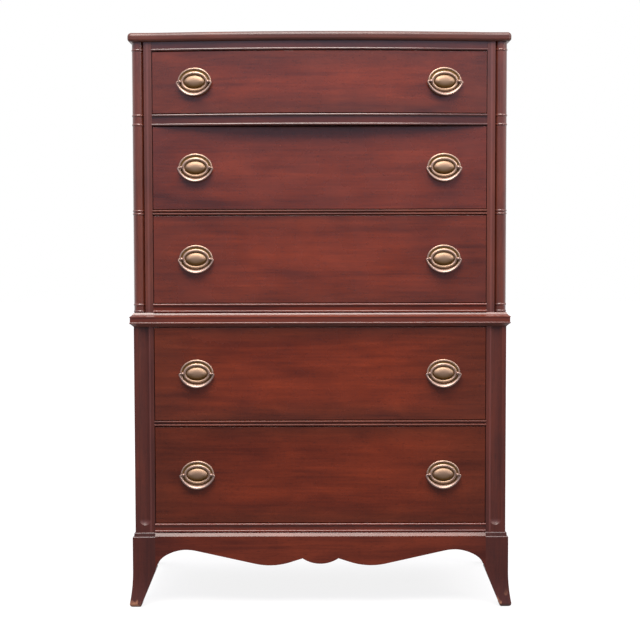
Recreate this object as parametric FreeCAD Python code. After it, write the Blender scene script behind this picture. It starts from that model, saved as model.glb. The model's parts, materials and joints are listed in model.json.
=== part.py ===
"""Tall chest of five drawers with a bowed top drawer, turned corner columns and splayed feet.

All sizes are in millimetres. +Z is up, the front faces -Y, and the origin lies on the floor
under the middle of the chest. Drawers are numbered from the top down.
"""

import FreeCAD, Part
import math
import os

# Case
CASE_WIDTH = 896.0
CASE_DEPTH = 484.0
POST_WIDTH = 48.0
POST_DEPTH = 48.0
SIDE_THICKNESS = 18.0
BACK_THICKNESS = 6.0
BACK_RABBET = 9.0
BOW = 27.5
TOP_THICKNESS = 21.5
TOP_OVERHANG = 8.5
TOP_ROUND_OVER = 9.0
TOP_ROUND_UNDER = 6.5
TOP_CORNER_RADIUS = 8.0
TOP_SWELL_BLEND = 300.0

# Heights, from the floor up
BASE_HEIGHT = 181.0
BASE_RAIL_HEIGHT = 22.0
DRAWER_5_OPENING = 236.5
LOWER_RAIL_HEIGHT = 13.5
DRAWER_4_OPENING = 227.0
WAIST_HEIGHT = 34.0
WAIST_RAIL_HEIGHT = 22.0
DRAWER_3_OPENING = 212.0
MIDDLE_RAIL_HEIGHT = 12.5
DRAWER_2_OPENING = 199.5
UPPER_RAIL_HEIGHT = 28.0
DRAWER_1_OPENING = 149.0
TOP_RAIL_HEIGHT = 22.0

# Beads and mouldings
BEAD_RADIUS = 3.0
REED_RADIUS = 2.6
QUIRK = 1.2
WAIST_PROJECTION = 9.5
WAIST_COVE_HEIGHT = 9.5
WAIST_COVE_SINK = 0.9
WAIST_LIP = 1.6
WAIST_BEAD_RADIUS = 2.6
WAIST_UNDERCUT = 6.7
TENON_LENGTH = 14.0
TENON_THICKNESS = 12.0
TENON_SHOULDER = 2.0

# Corner columns and flutes
COLUMN_DIAMETER = 29.0
COLUMN_SEAT = 0.15
RING_PROJECTION = 1.3
FLUTE_WIDTH = 28.0
FLUTE_DEPTH = 6.0
FLUTE_STOP = 17.0

# Feet and aprons
FOOT_PROJECTION = 6.5
FOOT_CAP_HEIGHT = 9.5
FOOT_CAP_STEP = 3.5
FOOT_CAP_ROUND = 2.4
FOOT_BRACKET_DROP = 93.0
FOOT_FLARE_HEIGHT = 95.0
FOOT_FLARE = 7.5
FOOT_TOE_WIDTH = 29.5
FOOT_TOE_ROUND_SHARE = 0.3
BACK_TOE_WIDTH = 19.0
APRON_THICKNESS = 20.0
APRON_BEVEL_HEIGHT = 9.0
APRON_ARCH_DROP = 41.5
APRON_ARCH_RUN = 28.0
APRON_ARCH_FALL = 3.0
APRON_BRACKET_REACH = 72.0
APRON_LOBE_X = 123.0
APRON_LOBE_DROP = 80.0
APRON_LOBE_INNER_RUN = 51.0
APRON_LOBE_INNER_RISE = 7.9
APRON_LOBE_OUTER_RUN = 35.0
APRON_LOBE_OUTER_RISE = 3.8
APRON_CUSP_X = 43.5
APRON_CUSP_DROP = 63.0
APRON_CENTRE_DROP = 76.2
GLUE_BLOCK_SIZE = 28.0
GLUE_BLOCK_LENGTH = 70.0
GLUE_BLOCK_SPACING = 190.0

# Web frames between the drawers
WEB_THICKNESS = 10.0
RUNNER_WIDTH = 58.0
RUNNER_HOUSING = 6.0
WEB_BACK_WIDTH = 40.0
DUST_PANEL_THICKNESS = 4.0
DUST_PANEL_TONGUE = 8.0
TOP_CLEAT_THICKNESS = 18.0
GUIDE_WIDTH = 18.0
GUIDE_HEIGHT = 5.5
GUIDE_CLEARANCE = 0.3

# Screws that hold the top down
SCREW_LENGTH = 30.0
SCREW_SHANK_RADIUS = 2.2
SCREW_HEAD_RADIUS = 4.2
SCREW_HEAD_HEIGHT = 2.6
SCREW_SPREAD = 260.0

# Drawers
DRAWER_GAP = 1.5
DRAWER_LENGTH = 450.0
DRAWER_FRONT_THICKNESS = 20.0
DRAWER_FRONT_EASE = 0.8
DRAWER_SIDE_THICKNESS = 12.0
DRAWER_SIDE_GAP = 3.0
DRAWER_SIDE_DROP = 10.0
DRAWER_BACK_THICKNESS = 12.0
DRAWER_BACK_INSET = 12.0
DRAWER_BACK_HOUSING = 5.0
DRAWER_BOTTOM_THICKNESS = 6.0
DRAWER_BOTTOM_RAISE = 10.0
DRAWER_BOTTOM_GROOVE = 5.0
DRAWER_RUN_CLEARANCE = 0.3
DRAWER_RUNNER_WIDTH = 44.0
TAIL_PITCH = 26.0
TAIL_LENGTH = 12.0
TAIL_ROOT = 11.0
TAIL_SPREAD = 2.2

# Oval bail pulls
PULL_INSET = 103.0
PULL_RISE = 1.0
PULL_SEAT = 0.1
PLATE_HALF_WIDTH = 40.5
PLATE_HALF_HEIGHT = 33.5
PLATE_EDGE = 1.2
PLATE_RIM_WIDTH = 5.4
PLATE_RIM_HEIGHT = 3.2
PLATE_FLOOR_WIDTH = 3.4
PLATE_RING_WIDTH = 8.4
PLATE_RING_HEIGHT = 4.6
PLATE_GROOVE_WIDTH = 1.4
PLATE_DOME_HEIGHT = 7.5
PLATE_CROWN = 2.0
POST_SPACING = 67.0
PIVOT_HEIGHT = 9.0
POST_BALL_RADIUS = 3.8
POST_NECK_RADIUS = 2.6
BOLT_RADIUS = 2.0
BOLT_TAIL = 2.0
BOLT_CLEARANCE = 0.2
NUT_WIDTH = 8.0
NUT_THICKNESS = 4.0
NUT_SEAT = 0.3
PIN_RADIUS = 1.5
PIN_CLEARANCE = 0.08
PIN_DEPTH = 5.0
PIN_END_CLEARANCE = 0.4
BAIL_BEND_X = 38.7
BAIL_BEND_RADIUS = 2.6
BAIL_DROP = 28.0
BAIL_END_RADIUS = 2.0
BAIL_GRIP_HALF_WIDTH = 6.6
BAIL_GRIP_HALF_DEPTH = 4.2
BAIL_BEND_STEPS = 4
BAIL_BOW_STEPS = 12

# Places that follow from the sizes above
V = FreeCAD.Vector
UP = V(0, 0, 1)
ORIGIN = V(0, 0, 0)
BACK = (CASE_DEPTH + TOP_OVERHANG + BOW) / 2
FRONT = BACK - CASE_DEPTH
CASE_HALF = CASE_WIDTH / 2
OPENING_HALF = CASE_HALF - POST_WIDTH
SIDE_INNER = CASE_HALF - SIDE_THICKNESS
POST_BACK = FRONT + POST_DEPTH
BACK_INNER = BACK - BACK_THICKNESS
WEB_BACK_FRONT = BACK_INNER - WEB_BACK_WIDTH
RUNNER_INNER = SIDE_INNER - RUNNER_WIDTH
APRON_FACE = FRONT - FOOT_PROJECTION
APRON_ARCH_X = OPENING_HALF - APRON_BRACKET_REACH
APRON_ARCH_HEIGHT = BASE_HEIGHT - APRON_ARCH_DROP
APRON_LOBE_HEIGHT = BASE_HEIGHT - APRON_LOBE_DROP
APRON_CUSP_HEIGHT = BASE_HEIGHT - APRON_CUSP_DROP
APRON_CENTRE_HEIGHT = BASE_HEIGHT - APRON_CENTRE_DROP
FOOT_BRACKET_HEIGHT = BASE_HEIGHT - FOOT_BRACKET_DROP
BACK_FOOT_FRONT = BACK - POST_DEPTH - FOOT_PROJECTION
BOW_RADIUS = (OPENING_HALF**2 + BOW**2) / (2 * BOW)
BOW_CENTRE = V(0, FRONT - BOW + BOW_RADIUS, 0)

FLOOR_5 = BASE_HEIGHT + BASE_RAIL_HEIGHT
FLOOR_4 = FLOOR_5 + DRAWER_5_OPENING + LOWER_RAIL_HEIGHT
WAIST_BOTTOM = FLOOR_4 + DRAWER_4_OPENING
WAIST_TOP = WAIST_BOTTOM + WAIST_HEIGHT
FLOOR_3 = WAIST_TOP + WAIST_RAIL_HEIGHT
FLOOR_2 = FLOOR_3 + DRAWER_3_OPENING + MIDDLE_RAIL_HEIGHT
FLOOR_1 = FLOOR_2 + DRAWER_2_OPENING + UPPER_RAIL_HEIGHT
CEILING_1 = FLOOR_1 + DRAWER_1_OPENING
CASE_TOP = CEILING_1 + TOP_RAIL_HEIGHT
HEIGHT = CASE_TOP + TOP_THICKNESS
FLOORS = (FLOOR_1, FLOOR_2, FLOOR_3, FLOOR_4, FLOOR_5)
OPENINGS = (DRAWER_1_OPENING, DRAWER_2_OPENING, DRAWER_3_OPENING, DRAWER_4_OPENING, DRAWER_5_OPENING)
BOWED_DRAWER = 1


class Outline:
    """A closed outline of lines and arcs, drawn from point to point in one plane."""

    PLANES = {
        "plan": lambda u, v: V(u, v, 0),
        "front": lambda u, v: V(u, 0, v),
        "side": lambda u, v: V(0, u, v),
    }

    def __init__(self, plane, u, v):
        self.place = self.PLANES[plane]
        self.first = self.last = self.place(u, v)
        self.edges = []

    def line(self, u, v):
        end = self.place(u, v)
        if end.distanceToPoint(self.last) > 1e-6:
            self.edges.append(Part.LineSegment(self.last, end).toShape())
        self.last = end
        return self

    def arc(self, through, end):
        middle = self.place(*through)
        end = self.place(*end)
        self.edges.append(Part.Arc(self.last, middle, end).toShape())
        self.last = end
        return self

    def face(self):
        if self.last.distanceToPoint(self.first) > 1e-6:
            self.edges.append(Part.LineSegment(self.last, self.first).toShape())
        return Part.Face(Part.Wire(self.edges))


def box(x0, x1, y0, y1, z0, z1):
    return Part.makeBox(x1 - x0, y1 - y0, z1 - z0, V(x0, y0, z0))


def wide_box(half_width, y0, y1, z0, z1):
    return box(-half_width, half_width, y0, y1, z0, z1)


def mirrored(shape):
    return shape.mirror(ORIGIN, V(1, 0, 0))


def pair(shape):
    """The shape and its mirror image across the middle of the chest."""
    return [shape, mirrored(shape)]


def across(face, half_width):
    """A section in the side plane drawn out straight along X."""
    return face.translated(V(-half_width, 0, 0)).extrude(V(2 * half_width, 0, 0))


def bowed(face, half_width):
    """A section in the side plane swept along the bow of the top drawer, between square ends."""
    reach = math.degrees(math.asin(half_width / BOW_RADIUS)) + 1
    start = face.translated(V(0, -BOW, 0))
    start.rotate(BOW_CENTRE, UP, -reach)
    sweep = start.revolve(BOW_CENTRE, UP, 2 * reach)
    return sweep.common(wide_box(half_width, FRONT - 4 * BOW, BACK, 0, HEIGHT))


def edges_where(shape, test):
    """The edges whose middle point passes the test."""
    chosen = []
    for edge in shape.Edges:
        if test(edge.valueAt((edge.FirstParameter + edge.LastParameter) / 2)):
            chosen.append(edge)
    return chosen


def near(a, b):
    return abs(a - b) < 0.01


# Posts, columns and rails


def rail_spans():
    """The lowest and highest level of each front rail."""
    return {
        "top_rail": (CEILING_1, CASE_TOP),
        "upper_rail": (FLOOR_1 - UPPER_RAIL_HEIGHT, FLOOR_1),
        "middle_rail": (FLOOR_2 - MIDDLE_RAIL_HEIGHT, FLOOR_2),
        "waist_rail": (WAIST_BOTTOM, FLOOR_3),
        "lower_rail": (FLOOR_4 - LOWER_RAIL_HEIGHT, FLOOR_4),
        "base_rail": (BASE_HEIGHT, FLOOR_5),
    }


def rail_beads():
    """Where the beads of each rail start, and their radius."""
    spans = rail_spans()
    bead = 2 * BEAD_RADIUS
    reed = 2 * REED_RADIUS
    return {
        "top_rail": ([CEILING_1], BEAD_RADIUS),
        "upper_rail": ([spans["upper_rail"][0], FLOOR_1 - bead], BEAD_RADIUS),
        "middle_rail": ([spans["middle_rail"][0], FLOOR_2 - reed], REED_RADIUS),
        "waist_rail": ([WAIST_TOP, FLOOR_3 - bead], BEAD_RADIUS),
        "lower_rail": ([spans["lower_rail"][0], FLOOR_4 - reed], REED_RADIUS),
        "base_rail": ([BASE_HEIGHT, FLOOR_5 - bead], BEAD_RADIUS),
    }


def rail_section(bottom, top, beads, radius, depth):
    """Half-round beads on a sunk field, in the side plane."""
    field = FRONT + QUIRK
    outline = Outline("side", FRONT + depth, bottom).line(field, bottom)
    for low in beads:
        outline.line(field, low).line(FRONT, low)
        outline.arc((FRONT - radius, low + radius), (FRONT, low + 2 * radius))
        outline.line(field, low + 2 * radius)
    return outline.line(field, top).line(FRONT + depth, top).face()


def tenon(bottom, top):
    """The right-hand stub tenon of a rail, which its post is mortised for."""
    start = FRONT + (POST_DEPTH - TENON_THICKNESS) / 2
    low = bottom + TENON_SHOULDER
    high = top - TENON_SHOULDER
    return box(OPENING_HALF, OPENING_HALF + TENON_LENGTH, start, start + TENON_THICKNESS, low, high)


def make_rail(name):
    bottom, top = rail_spans()[name]
    beads, radius = rail_beads()[name]
    if name in ("top_rail", "upper_rail"):
        deep = rail_section(bottom, top, beads, radius, POST_DEPTH + 2 * BOW)
        rail = bowed(deep, OPENING_HALF).cut(wide_box(CASE_HALF, POST_BACK, BACK, bottom, top))
    else:
        rail = across(rail_section(bottom, top, beads, radius, POST_DEPTH), OPENING_HALF)
    rail = rail.fuse(pair(tenon(bottom, top))).removeSplitter()
    return rail.cut(make_dust_panels() + make_screws())


def make_post():
    """The right front post: fluted below the waist, rebated for its column above."""
    post = box(OPENING_HALF, CASE_HALF, FRONT, POST_BACK, BASE_HEIGHT, CASE_TOP)
    half = FLUTE_WIDTH / 2
    radius = (half**2 + FLUTE_DEPTH**2) / (2 * FLUTE_DEPTH)
    stop = V(OPENING_HALF + POST_WIDTH / 2, FRONT + FLUTE_DEPTH - radius, BASE_HEIGHT + FLUTE_STOP + half)
    flute = Part.makeCylinder(radius, WAIST_BOTTOM - stop.z, stop)
    scoop = Part.makeSphere(radius, stop)
    mortises = [tenon(bottom, top) for bottom, top in rail_spans().values()]
    return post.cut([column_rebate(0), flute, scoop] + mortises)


def make_column():
    """The right corner column: a ring beside every bead of the rails, pared flat against the post."""
    radius = COLUMN_DIAMETER / 2 - COLUMN_SEAT
    outline = Outline("front", 0, WAIST_TOP).line(radius, WAIST_TOP)
    for name in ("waist_rail", "middle_rail", "upper_rail", "top_rail"):
        starts, ring = rail_beads()[name]
        for low in starts:
            outline.line(radius, low)
            outline.arc((radius + RING_PROJECTION, low + ring), (radius, low + 2 * ring))
    turned = outline.line(radius, CASE_TOP).line(0, CASE_TOP).face().revolve(ORIGIN, UP, 360)
    turned = turned.translated(V(CASE_HALF - COLUMN_DIAMETER / 2, FRONT + COLUMN_DIAMETER / 2, 0))
    return turned.common(column_rebate(RING_PROJECTION))


def column_rebate(margin):
    """The corner cut from the post for its column, which reaches a margin past the post's two faces."""
    corner = CASE_HALF - COLUMN_DIAMETER
    back = FRONT + COLUMN_DIAMETER
    return box(corner, CASE_HALF + margin, FRONT - margin, back, WAIST_TOP, CASE_TOP)


# Panels, top and waist moulding


def make_side():
    """The right side panel, rabbeted for the back and housed for the web frames."""
    side = box(SIDE_INNER, CASE_HALF, POST_BACK, BACK, BASE_HEIGHT, CASE_TOP)
    cuts = [box(SIDE_INNER, SIDE_INNER + BACK_RABBET, BACK_INNER, BACK, BASE_HEIGHT, CASE_TOP)]
    for low, high in web_levels():
        cuts.append(box(SIDE_INNER, SIDE_INNER + RUNNER_HOUSING, POST_BACK, BACK_INNER, low, high))
    return side.cut(cuts)


def make_back():
    return wide_box(SIDE_INNER + BACK_RABBET, BACK_INNER, BACK, BASE_HEIGHT, CASE_TOP)


def make_top():
    """The top board: its front swells with the drawer below and its edge is rounded over and under."""
    half = CASE_HALF + TOP_OVERHANG
    edge = FRONT - TOP_OVERHANG
    outline = Outline("plan", -half, BACK).line(-half, edge).line(-OPENING_HALF, edge)
    outline.arc((0, edge - BOW), (OPENING_HALF, edge)).line(half, edge).line(half, BACK)
    board = outline.face().translated(V(0, 0, CASE_TOP)).extrude(V(0, 0, TOP_THICKNESS))
    middle = CASE_TOP + TOP_THICKNESS / 2
    rounds = (
        (TOP_SWELL_BLEND, lambda p: near(abs(p.x), OPENING_HALF) and near(p.z, middle)),
        (TOP_CORNER_RADIUS, lambda p: near(abs(p.x), half) and near(p.y, edge)),
        (TOP_ROUND_OVER, lambda p: near(p.z, HEIGHT) and not near(p.y, BACK)),
        (TOP_ROUND_UNDER, lambda p: near(p.z, CASE_TOP) and not near(p.y, BACK)),
    )
    for radius, test in rounds:
        board = board.makeFillet(radius, edges_where(board, test))
    return board.cut(make_screws())


def waist_section():
    """A cove, a lip over a flat band, and a bead with a bevel under it, in the side plane."""
    outer = FRONT - WAIST_PROJECTION
    band = outer + QUIRK
    bead_low = WAIST_BOTTOM + WAIST_UNDERCUT
    bead_high = bead_low + 2 * WAIST_BEAD_RADIUS
    lip = WAIST_TOP - WAIST_COVE_HEIGHT
    bead_back = outer + WAIST_BEAD_RADIUS
    outline = Outline("side", FRONT, WAIST_BOTTOM).line(bead_back, bead_low)
    outline.arc((outer, bead_low + WAIST_BEAD_RADIUS), (bead_back, bead_high))
    outline.line(band, bead_high).line(band, lip - WAIST_LIP).line(outer, lip - WAIST_LIP).line(outer, lip)
    middle = ((outer + FRONT) / 2 + WAIST_COVE_SINK, (lip + WAIST_TOP) / 2 - WAIST_COVE_SINK)
    return outline.arc(middle, (FRONT, WAIST_TOP)).face()


def make_waist():
    """The waist moulding: a front length and two side returns, mitred at the corners."""
    out = WAIST_PROJECTION
    wide = CASE_HALF + out
    section = waist_section()
    mitre = Outline("plan", -CASE_HALF, FRONT).line(CASE_HALF, FRONT).line(wide, FRONT - out)
    mitre.line(-wide, FRONT - out)
    front = across(section, wide).common(mitre.face().extrude(V(0, 0, HEIGHT)))
    turned = section.copy()
    turned.rotate(V(0, FRONT, 0), UP, 90)
    turned.translate(V(CASE_HALF, -out, 0))
    mitre = Outline("plan", CASE_HALF, FRONT).line(wide, FRONT - out).line(wide, BACK).line(CASE_HALF, BACK)
    side = turned.extrude(V(0, CASE_DEPTH + out, 0)).common(mitre.face().extrude(V(0, 0, HEIGHT)))
    return [front] + pair(side)


# Feet, aprons and glue blocks


def foot_outline(plane, outer, inner, flare, toe_width=FOOT_TOE_WIDTH):
    """A foot seen from one side: a splayed and rounded toe under a straight block."""
    outwards = 1 if outer > inner else -1
    toe = outer + outwards * flare
    heel = toe - outwards * toe_width
    rounding = toe_width * FOOT_TOE_ROUND_SHARE
    ease = outwards * rounding
    turn = 1 - math.sqrt(0.5)
    outline = Outline(plane, inner, BASE_HEIGHT).line(inner, FOOT_BRACKET_HEIGHT).line(heel, rounding)
    outline.arc((heel + ease * turn, rounding * turn), (heel + ease, 0)).line(toe - ease, 0)
    outline.arc((toe - ease * turn, rounding * turn), (toe, rounding))
    if flare:
        middle = (outer + outwards * flare / 4, FOOT_FLARE_HEIGHT / 2)
        outline.arc(middle, (outer, FOOT_FLARE_HEIGHT))
    return outline.line(outer, BASE_HEIGHT).face()


def make_foot(is_front):
    """A right-hand foot, sawn to shape from two sides, with a stepped and rounded cap."""
    outer = CASE_HALF + FOOT_PROJECTION
    reach = CASE_WIDTH
    toe_width = FOOT_TOE_WIDTH if is_front else BACK_TOE_WIDTH
    from_front = foot_outline("front", outer, OPENING_HALF, FOOT_FLARE, toe_width)
    if is_front:
        from_side = foot_outline("side", APRON_FACE, POST_BACK, FOOT_FLARE)
        steps = [box(0, reach, -reach, APRON_FACE + FOOT_CAP_STEP, BASE_HEIGHT - FOOT_CAP_HEIGHT, BASE_HEIGHT)]
    else:
        from_side = foot_outline("side", BACK, BACK_FOOT_FRONT, 0)
        steps = []
    steps.append(box(outer - FOOT_CAP_STEP, reach, -reach, reach, BASE_HEIGHT - FOOT_CAP_HEIGHT, BASE_HEIGHT))
    blank = from_front.translated(V(0, -reach, 0)).extrude(V(0, 2 * reach, 0))
    foot = blank.common(from_side.extrude(V(reach, 0, 0))).cut(steps)

    def on_cap(point):
        inset = 0 if near(point.z, BASE_HEIGHT - FOOT_CAP_HEIGHT) else FOOT_CAP_STEP
        at_side = near(point.x, outer - inset)
        at_front = is_front and near(point.y, APRON_FACE + inset)
        return (at_side or at_front) and (inset == 0 or near(point.z, BASE_HEIGHT))

    return foot.makeFillet(FOOT_CAP_ROUND, edges_where(foot, on_cap))


def bracket_curve(outline, foot, direction, climbing):
    """Joins a foot's corner to the apron's arch: direction is +1 or -1 from the foot to the arch."""
    rise = APRON_ARCH_HEIGHT - FOOT_BRACKET_HEIGHT

    def point(along, up):
        return foot + direction * along * APRON_BRACKET_REACH, FOOT_BRACKET_HEIGHT + up * rise

    corner, bend, knee, shoulder, arch = point(0, 0), point(0.12, 0.43), point(0.35, 0.73), point(0.62, 0.9), point(1, 1)
    if climbing:
        outline.arc(bend, knee).arc(shoulder, arch)
    else:
        outline.arc(shoulder, knee).arc(bend, corner)


def lobe_points(direction):
    """The lower edge from the cusp beside the centre drop to the arch, to one side."""
    return [
        (direction * u, v)
        for u, v in (
            (APRON_LOBE_X - APRON_LOBE_INNER_RUN, APRON_LOBE_HEIGHT + APRON_LOBE_INNER_RISE),
            (APRON_LOBE_X, APRON_LOBE_HEIGHT),
            (APRON_LOBE_X + APRON_LOBE_OUTER_RUN, APRON_LOBE_HEIGHT + APRON_LOBE_OUTER_RISE),
            (APRON_ARCH_X - APRON_ARCH_RUN, APRON_ARCH_HEIGHT - APRON_ARCH_FALL),
            (APRON_ARCH_X - APRON_ARCH_RUN / 2, APRON_ARCH_HEIGHT - APRON_ARCH_FALL / 4),
            (APRON_ARCH_X, APRON_ARCH_HEIGHT),
        )
    ]


def make_front_apron():
    """The front skirt: lobes and a small centre drop along its lower edge, and a bevelled top."""
    outline = Outline("front", -OPENING_HALF, BASE_HEIGHT).line(-OPENING_HALF, FOOT_BRACKET_HEIGHT)
    bracket_curve(outline, -OPENING_HALF, 1, True)
    near_cusp, lobe, far_lobe, climb, crown, arch = lobe_points(-1)
    outline.arc(crown, climb).line(*far_lobe).arc(lobe, near_cusp).line(-APRON_CUSP_X, APRON_CUSP_HEIGHT)
    outline.arc((0, APRON_CENTRE_HEIGHT), (APRON_CUSP_X, APRON_CUSP_HEIGHT))
    near_cusp, lobe, far_lobe, climb, crown, arch = lobe_points(1)
    outline.line(*near_cusp).arc(lobe, far_lobe).line(*climb).arc(crown, arch)
    bracket_curve(outline, OPENING_HALF, -1, False)
    board = outline.line(OPENING_HALF, BASE_HEIGHT).face()
    board = board.translated(V(0, APRON_FACE, 0)).extrude(V(0, APRON_THICKNESS, 0))
    bevel = Outline("side", APRON_FACE, BASE_HEIGHT - APRON_BEVEL_HEIGHT).line(FRONT, BASE_HEIGHT)
    return board.cut(across(bevel.line(APRON_FACE, BASE_HEIGHT).face(), OPENING_HALF))


def make_side_apron():
    """The right side skirt: one long arch between the feet, and a bevelled top."""
    face = CASE_HALF + FOOT_PROJECTION
    outline = Outline("side", POST_BACK, BASE_HEIGHT).line(POST_BACK, FOOT_BRACKET_HEIGHT)
    bracket_curve(outline, POST_BACK, 1, True)
    outline.line(BACK_FOOT_FRONT - APRON_BRACKET_REACH, APRON_ARCH_HEIGHT)
    bracket_curve(outline, BACK_FOOT_FRONT, -1, False)
    board = outline.line(BACK_FOOT_FRONT, BASE_HEIGHT).face()
    board = board.translated(V(face - APRON_THICKNESS, 0, 0)).extrude(V(APRON_THICKNESS, 0, 0))
    bevel = Outline("front", face, BASE_HEIGHT - APRON_BEVEL_HEIGHT).line(CASE_HALF, BASE_HEIGHT)
    bevel = bevel.line(face, BASE_HEIGHT).face().translated(V(0, POST_BACK, 0))
    return board.cut(bevel.extrude(V(0, BACK_FOOT_FRONT - POST_BACK, 0)))


def make_glue_blocks():
    """Three-cornered blocks rubbed into the angle behind the aprons."""
    size = GLUE_BLOCK_SIZE
    blocks = []
    rear = APRON_FACE + APRON_THICKNESS
    section = Outline("side", rear, BASE_HEIGHT).line(rear + size, BASE_HEIGHT).line(rear, BASE_HEIGHT - size)
    block = across(section.face(), GLUE_BLOCK_LENGTH / 2)
    blocks += [block.translated(V(x, 0, 0)) for x in (-GLUE_BLOCK_SPACING, 0, GLUE_BLOCK_SPACING)]
    inner = CASE_HALF + FOOT_PROJECTION - APRON_THICKNESS
    section = Outline("front", inner, BASE_HEIGHT).line(inner - size, BASE_HEIGHT).line(inner, BASE_HEIGHT - size)
    middle = (POST_BACK + BACK_FOOT_FRONT - GLUE_BLOCK_LENGTH) / 2
    block = section.face().translated(V(0, middle, 0)).extrude(V(0, GLUE_BLOCK_LENGTH, 0))
    return blocks + pair(block)


# Web frames, dust panels, guides and screws


def web_levels():
    """The lowest and highest level of each web frame, from the top cleats down."""
    levels = [(CASE_TOP - TOP_CLEAT_THICKNESS, CASE_TOP)]
    levels += [(floor - WEB_THICKNESS, floor) for floor in FLOORS]
    return levels


def make_web_frames():
    """Side runners and a back rail at every level, grooved for the dust panels."""
    outer = SIDE_INNER + RUNNER_HOUSING
    cuts = make_dust_panels() + make_screws()
    frames = []
    for low, high in web_levels():
        pieces = pair(box(RUNNER_INNER, outer, POST_BACK, WEB_BACK_FRONT, low, high))
        pieces.append(wide_box(outer, WEB_BACK_FRONT, BACK_INNER, low, high))
        frames += [piece.cut(cuts) for piece in pieces]
    return frames


def make_dust_panels():
    tongue = DUST_PANEL_TONGUE
    panels = []
    for floor in FLOORS:
        low = floor - (WEB_THICKNESS + DUST_PANEL_THICKNESS) / 2
        high = low + DUST_PANEL_THICKNESS
        panels.append(wide_box(RUNNER_INNER + tongue, POST_BACK - tongue, WEB_BACK_FRONT + tongue, low, high))
    return panels


def make_guides():
    """The strip down the middle of each web frame that keeps a drawer running straight."""
    start = FRONT + DRAWER_FRONT_THICKNESS + DRAWER_SIDE_GAP
    return [wide_box(GUIDE_WIDTH / 2, start, BACK_INNER, floor, floor + GUIDE_HEIGHT) for floor in FLOORS]


def make_screws():
    """Countersunk screws driven up through the top rail and the cleats into the top board."""
    profile = Outline("front", 0, 0).line(SCREW_HEAD_RADIUS, 0).line(SCREW_SHANK_RADIUS, SCREW_HEAD_HEIGHT)
    profile.line(SCREW_SHANK_RADIUS, SCREW_LENGTH - SCREW_HEAD_HEIGHT).line(0, SCREW_LENGTH)
    screw = profile.face().revolve(ORIGIN, UP, 360)
    cleat = CASE_TOP - TOP_CLEAT_THICKNESS
    runner = (RUNNER_INNER + SIDE_INNER) / 2
    middle = (POST_BACK + WEB_BACK_FRONT) / 2
    places = []
    for side in (-1, 1):
        places.append(V(side * SCREW_SPREAD, FRONT + POST_DEPTH / 2, CEILING_1))
        places.append(V(side * SCREW_SPREAD, BACK_INNER - WEB_BACK_WIDTH / 2, cleat))
        places.append(V(side * runner, middle, cleat))
    return [screw.translated(place) for place in places]


# Drawers


def sweep(number, face, half_width):
    """Follows the drawer's front: bowed on the top drawer, straight on the others."""
    return bowed(face, half_width) if number == BOWED_DRAWER else across(face, half_width)


def slab_section(y0, y1, z0, z1):
    return Outline("side", y0, z0).line(y1, z0).line(y1, z1).line(y0, z1).face()


def front_blank(number):
    """The drawer front before it is cut for its joints, with its face edges eased."""
    floor, opening = FLOORS[number - 1], OPENINGS[number - 1]
    section = slab_section(FRONT, FRONT + DRAWER_FRONT_THICKNESS, floor + DRAWER_GAP, floor + opening - DRAWER_GAP)
    blank = sweep(number, section, OPENING_HALF - DRAWER_GAP)

    def on_face(point):
        if number == BOWED_DRAWER:
            return near(math.hypot(point.x, point.y - BOW_CENTRE.y), BOW_RADIUS)
        return near(point.y, FRONT)

    return blank.makeFillet(DRAWER_FRONT_EASE, edges_where(blank, on_face))


def drawer_levels(number):
    """The lowest and highest level of the drawer's sides."""
    floor, opening = FLOORS[number - 1], OPENINGS[number - 1]
    return floor + DRAWER_RUN_CLEARANCE, floor + opening - DRAWER_GAP - DRAWER_SIDE_DROP


def make_tails(number):
    """The right side's dovetails, which sit in sockets in the back of the drawer front."""
    low, high = drawer_levels(number)
    root = FRONT + DRAWER_FRONT_THICKNESS
    tip = root - TAIL_LENGTH
    inside = root + TAIL_LENGTH / 4
    count = int((high - low) / TAIL_PITCH)
    outer = OPENING_HALF - DRAWER_SIDE_GAP
    tails = []
    for index in range(count):
        centre = (low + high) / 2 + (index - (count - 1) / 2) * TAIL_PITCH
        narrow = TAIL_ROOT / 2
        wide = narrow + TAIL_SPREAD
        outline = Outline("side", inside, centre - narrow).line(root, centre - narrow).line(tip, centre - wide)
        outline.line(tip, centre + wide).line(root, centre + narrow).line(inside, centre + narrow)
        tail = outline.face().translated(V(outer - DRAWER_SIDE_THICKNESS, 0, 0))
        tails.append(tail.extrude(V(DRAWER_SIDE_THICKNESS, 0, 0)))
    return tails


def make_drawer_bottom(number):
    """The bottom panel, slid into grooves in the front and sides."""
    low = drawer_levels(number)[0] + DRAWER_BOTTOM_RAISE
    high = low + DRAWER_BOTTOM_THICKNESS
    half = OPENING_HALF - DRAWER_SIDE_GAP - DRAWER_SIDE_THICKNESS + DRAWER_BOTTOM_GROOVE
    panel = wide_box(half, FRONT - 2 * BOW, FRONT + DRAWER_LENGTH, low, high)
    groove = FRONT + DRAWER_FRONT_THICKNESS - DRAWER_BOTTOM_GROOVE
    return panel.cut(sweep(number, slab_section(FRONT - 2 * BOW, groove, low, high), OPENING_HALF))


def make_drawer_runner(number):
    """The grooved strip under the bottom that straddles the case's guide."""
    floor = FLOORS[number - 1]
    low = drawer_levels(number)[0]
    high = low + DRAWER_BOTTOM_RAISE
    start = FRONT + DRAWER_FRONT_THICKNESS
    strip = wide_box(DRAWER_RUNNER_WIDTH / 2, start, FRONT + DRAWER_LENGTH, low, high)
    half = GUIDE_WIDTH / 2 + GUIDE_CLEARANCE
    return strip.cut(wide_box(half, start, FRONT + DRAWER_LENGTH, low, floor + GUIDE_HEIGHT + GUIDE_CLEARANCE))


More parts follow.
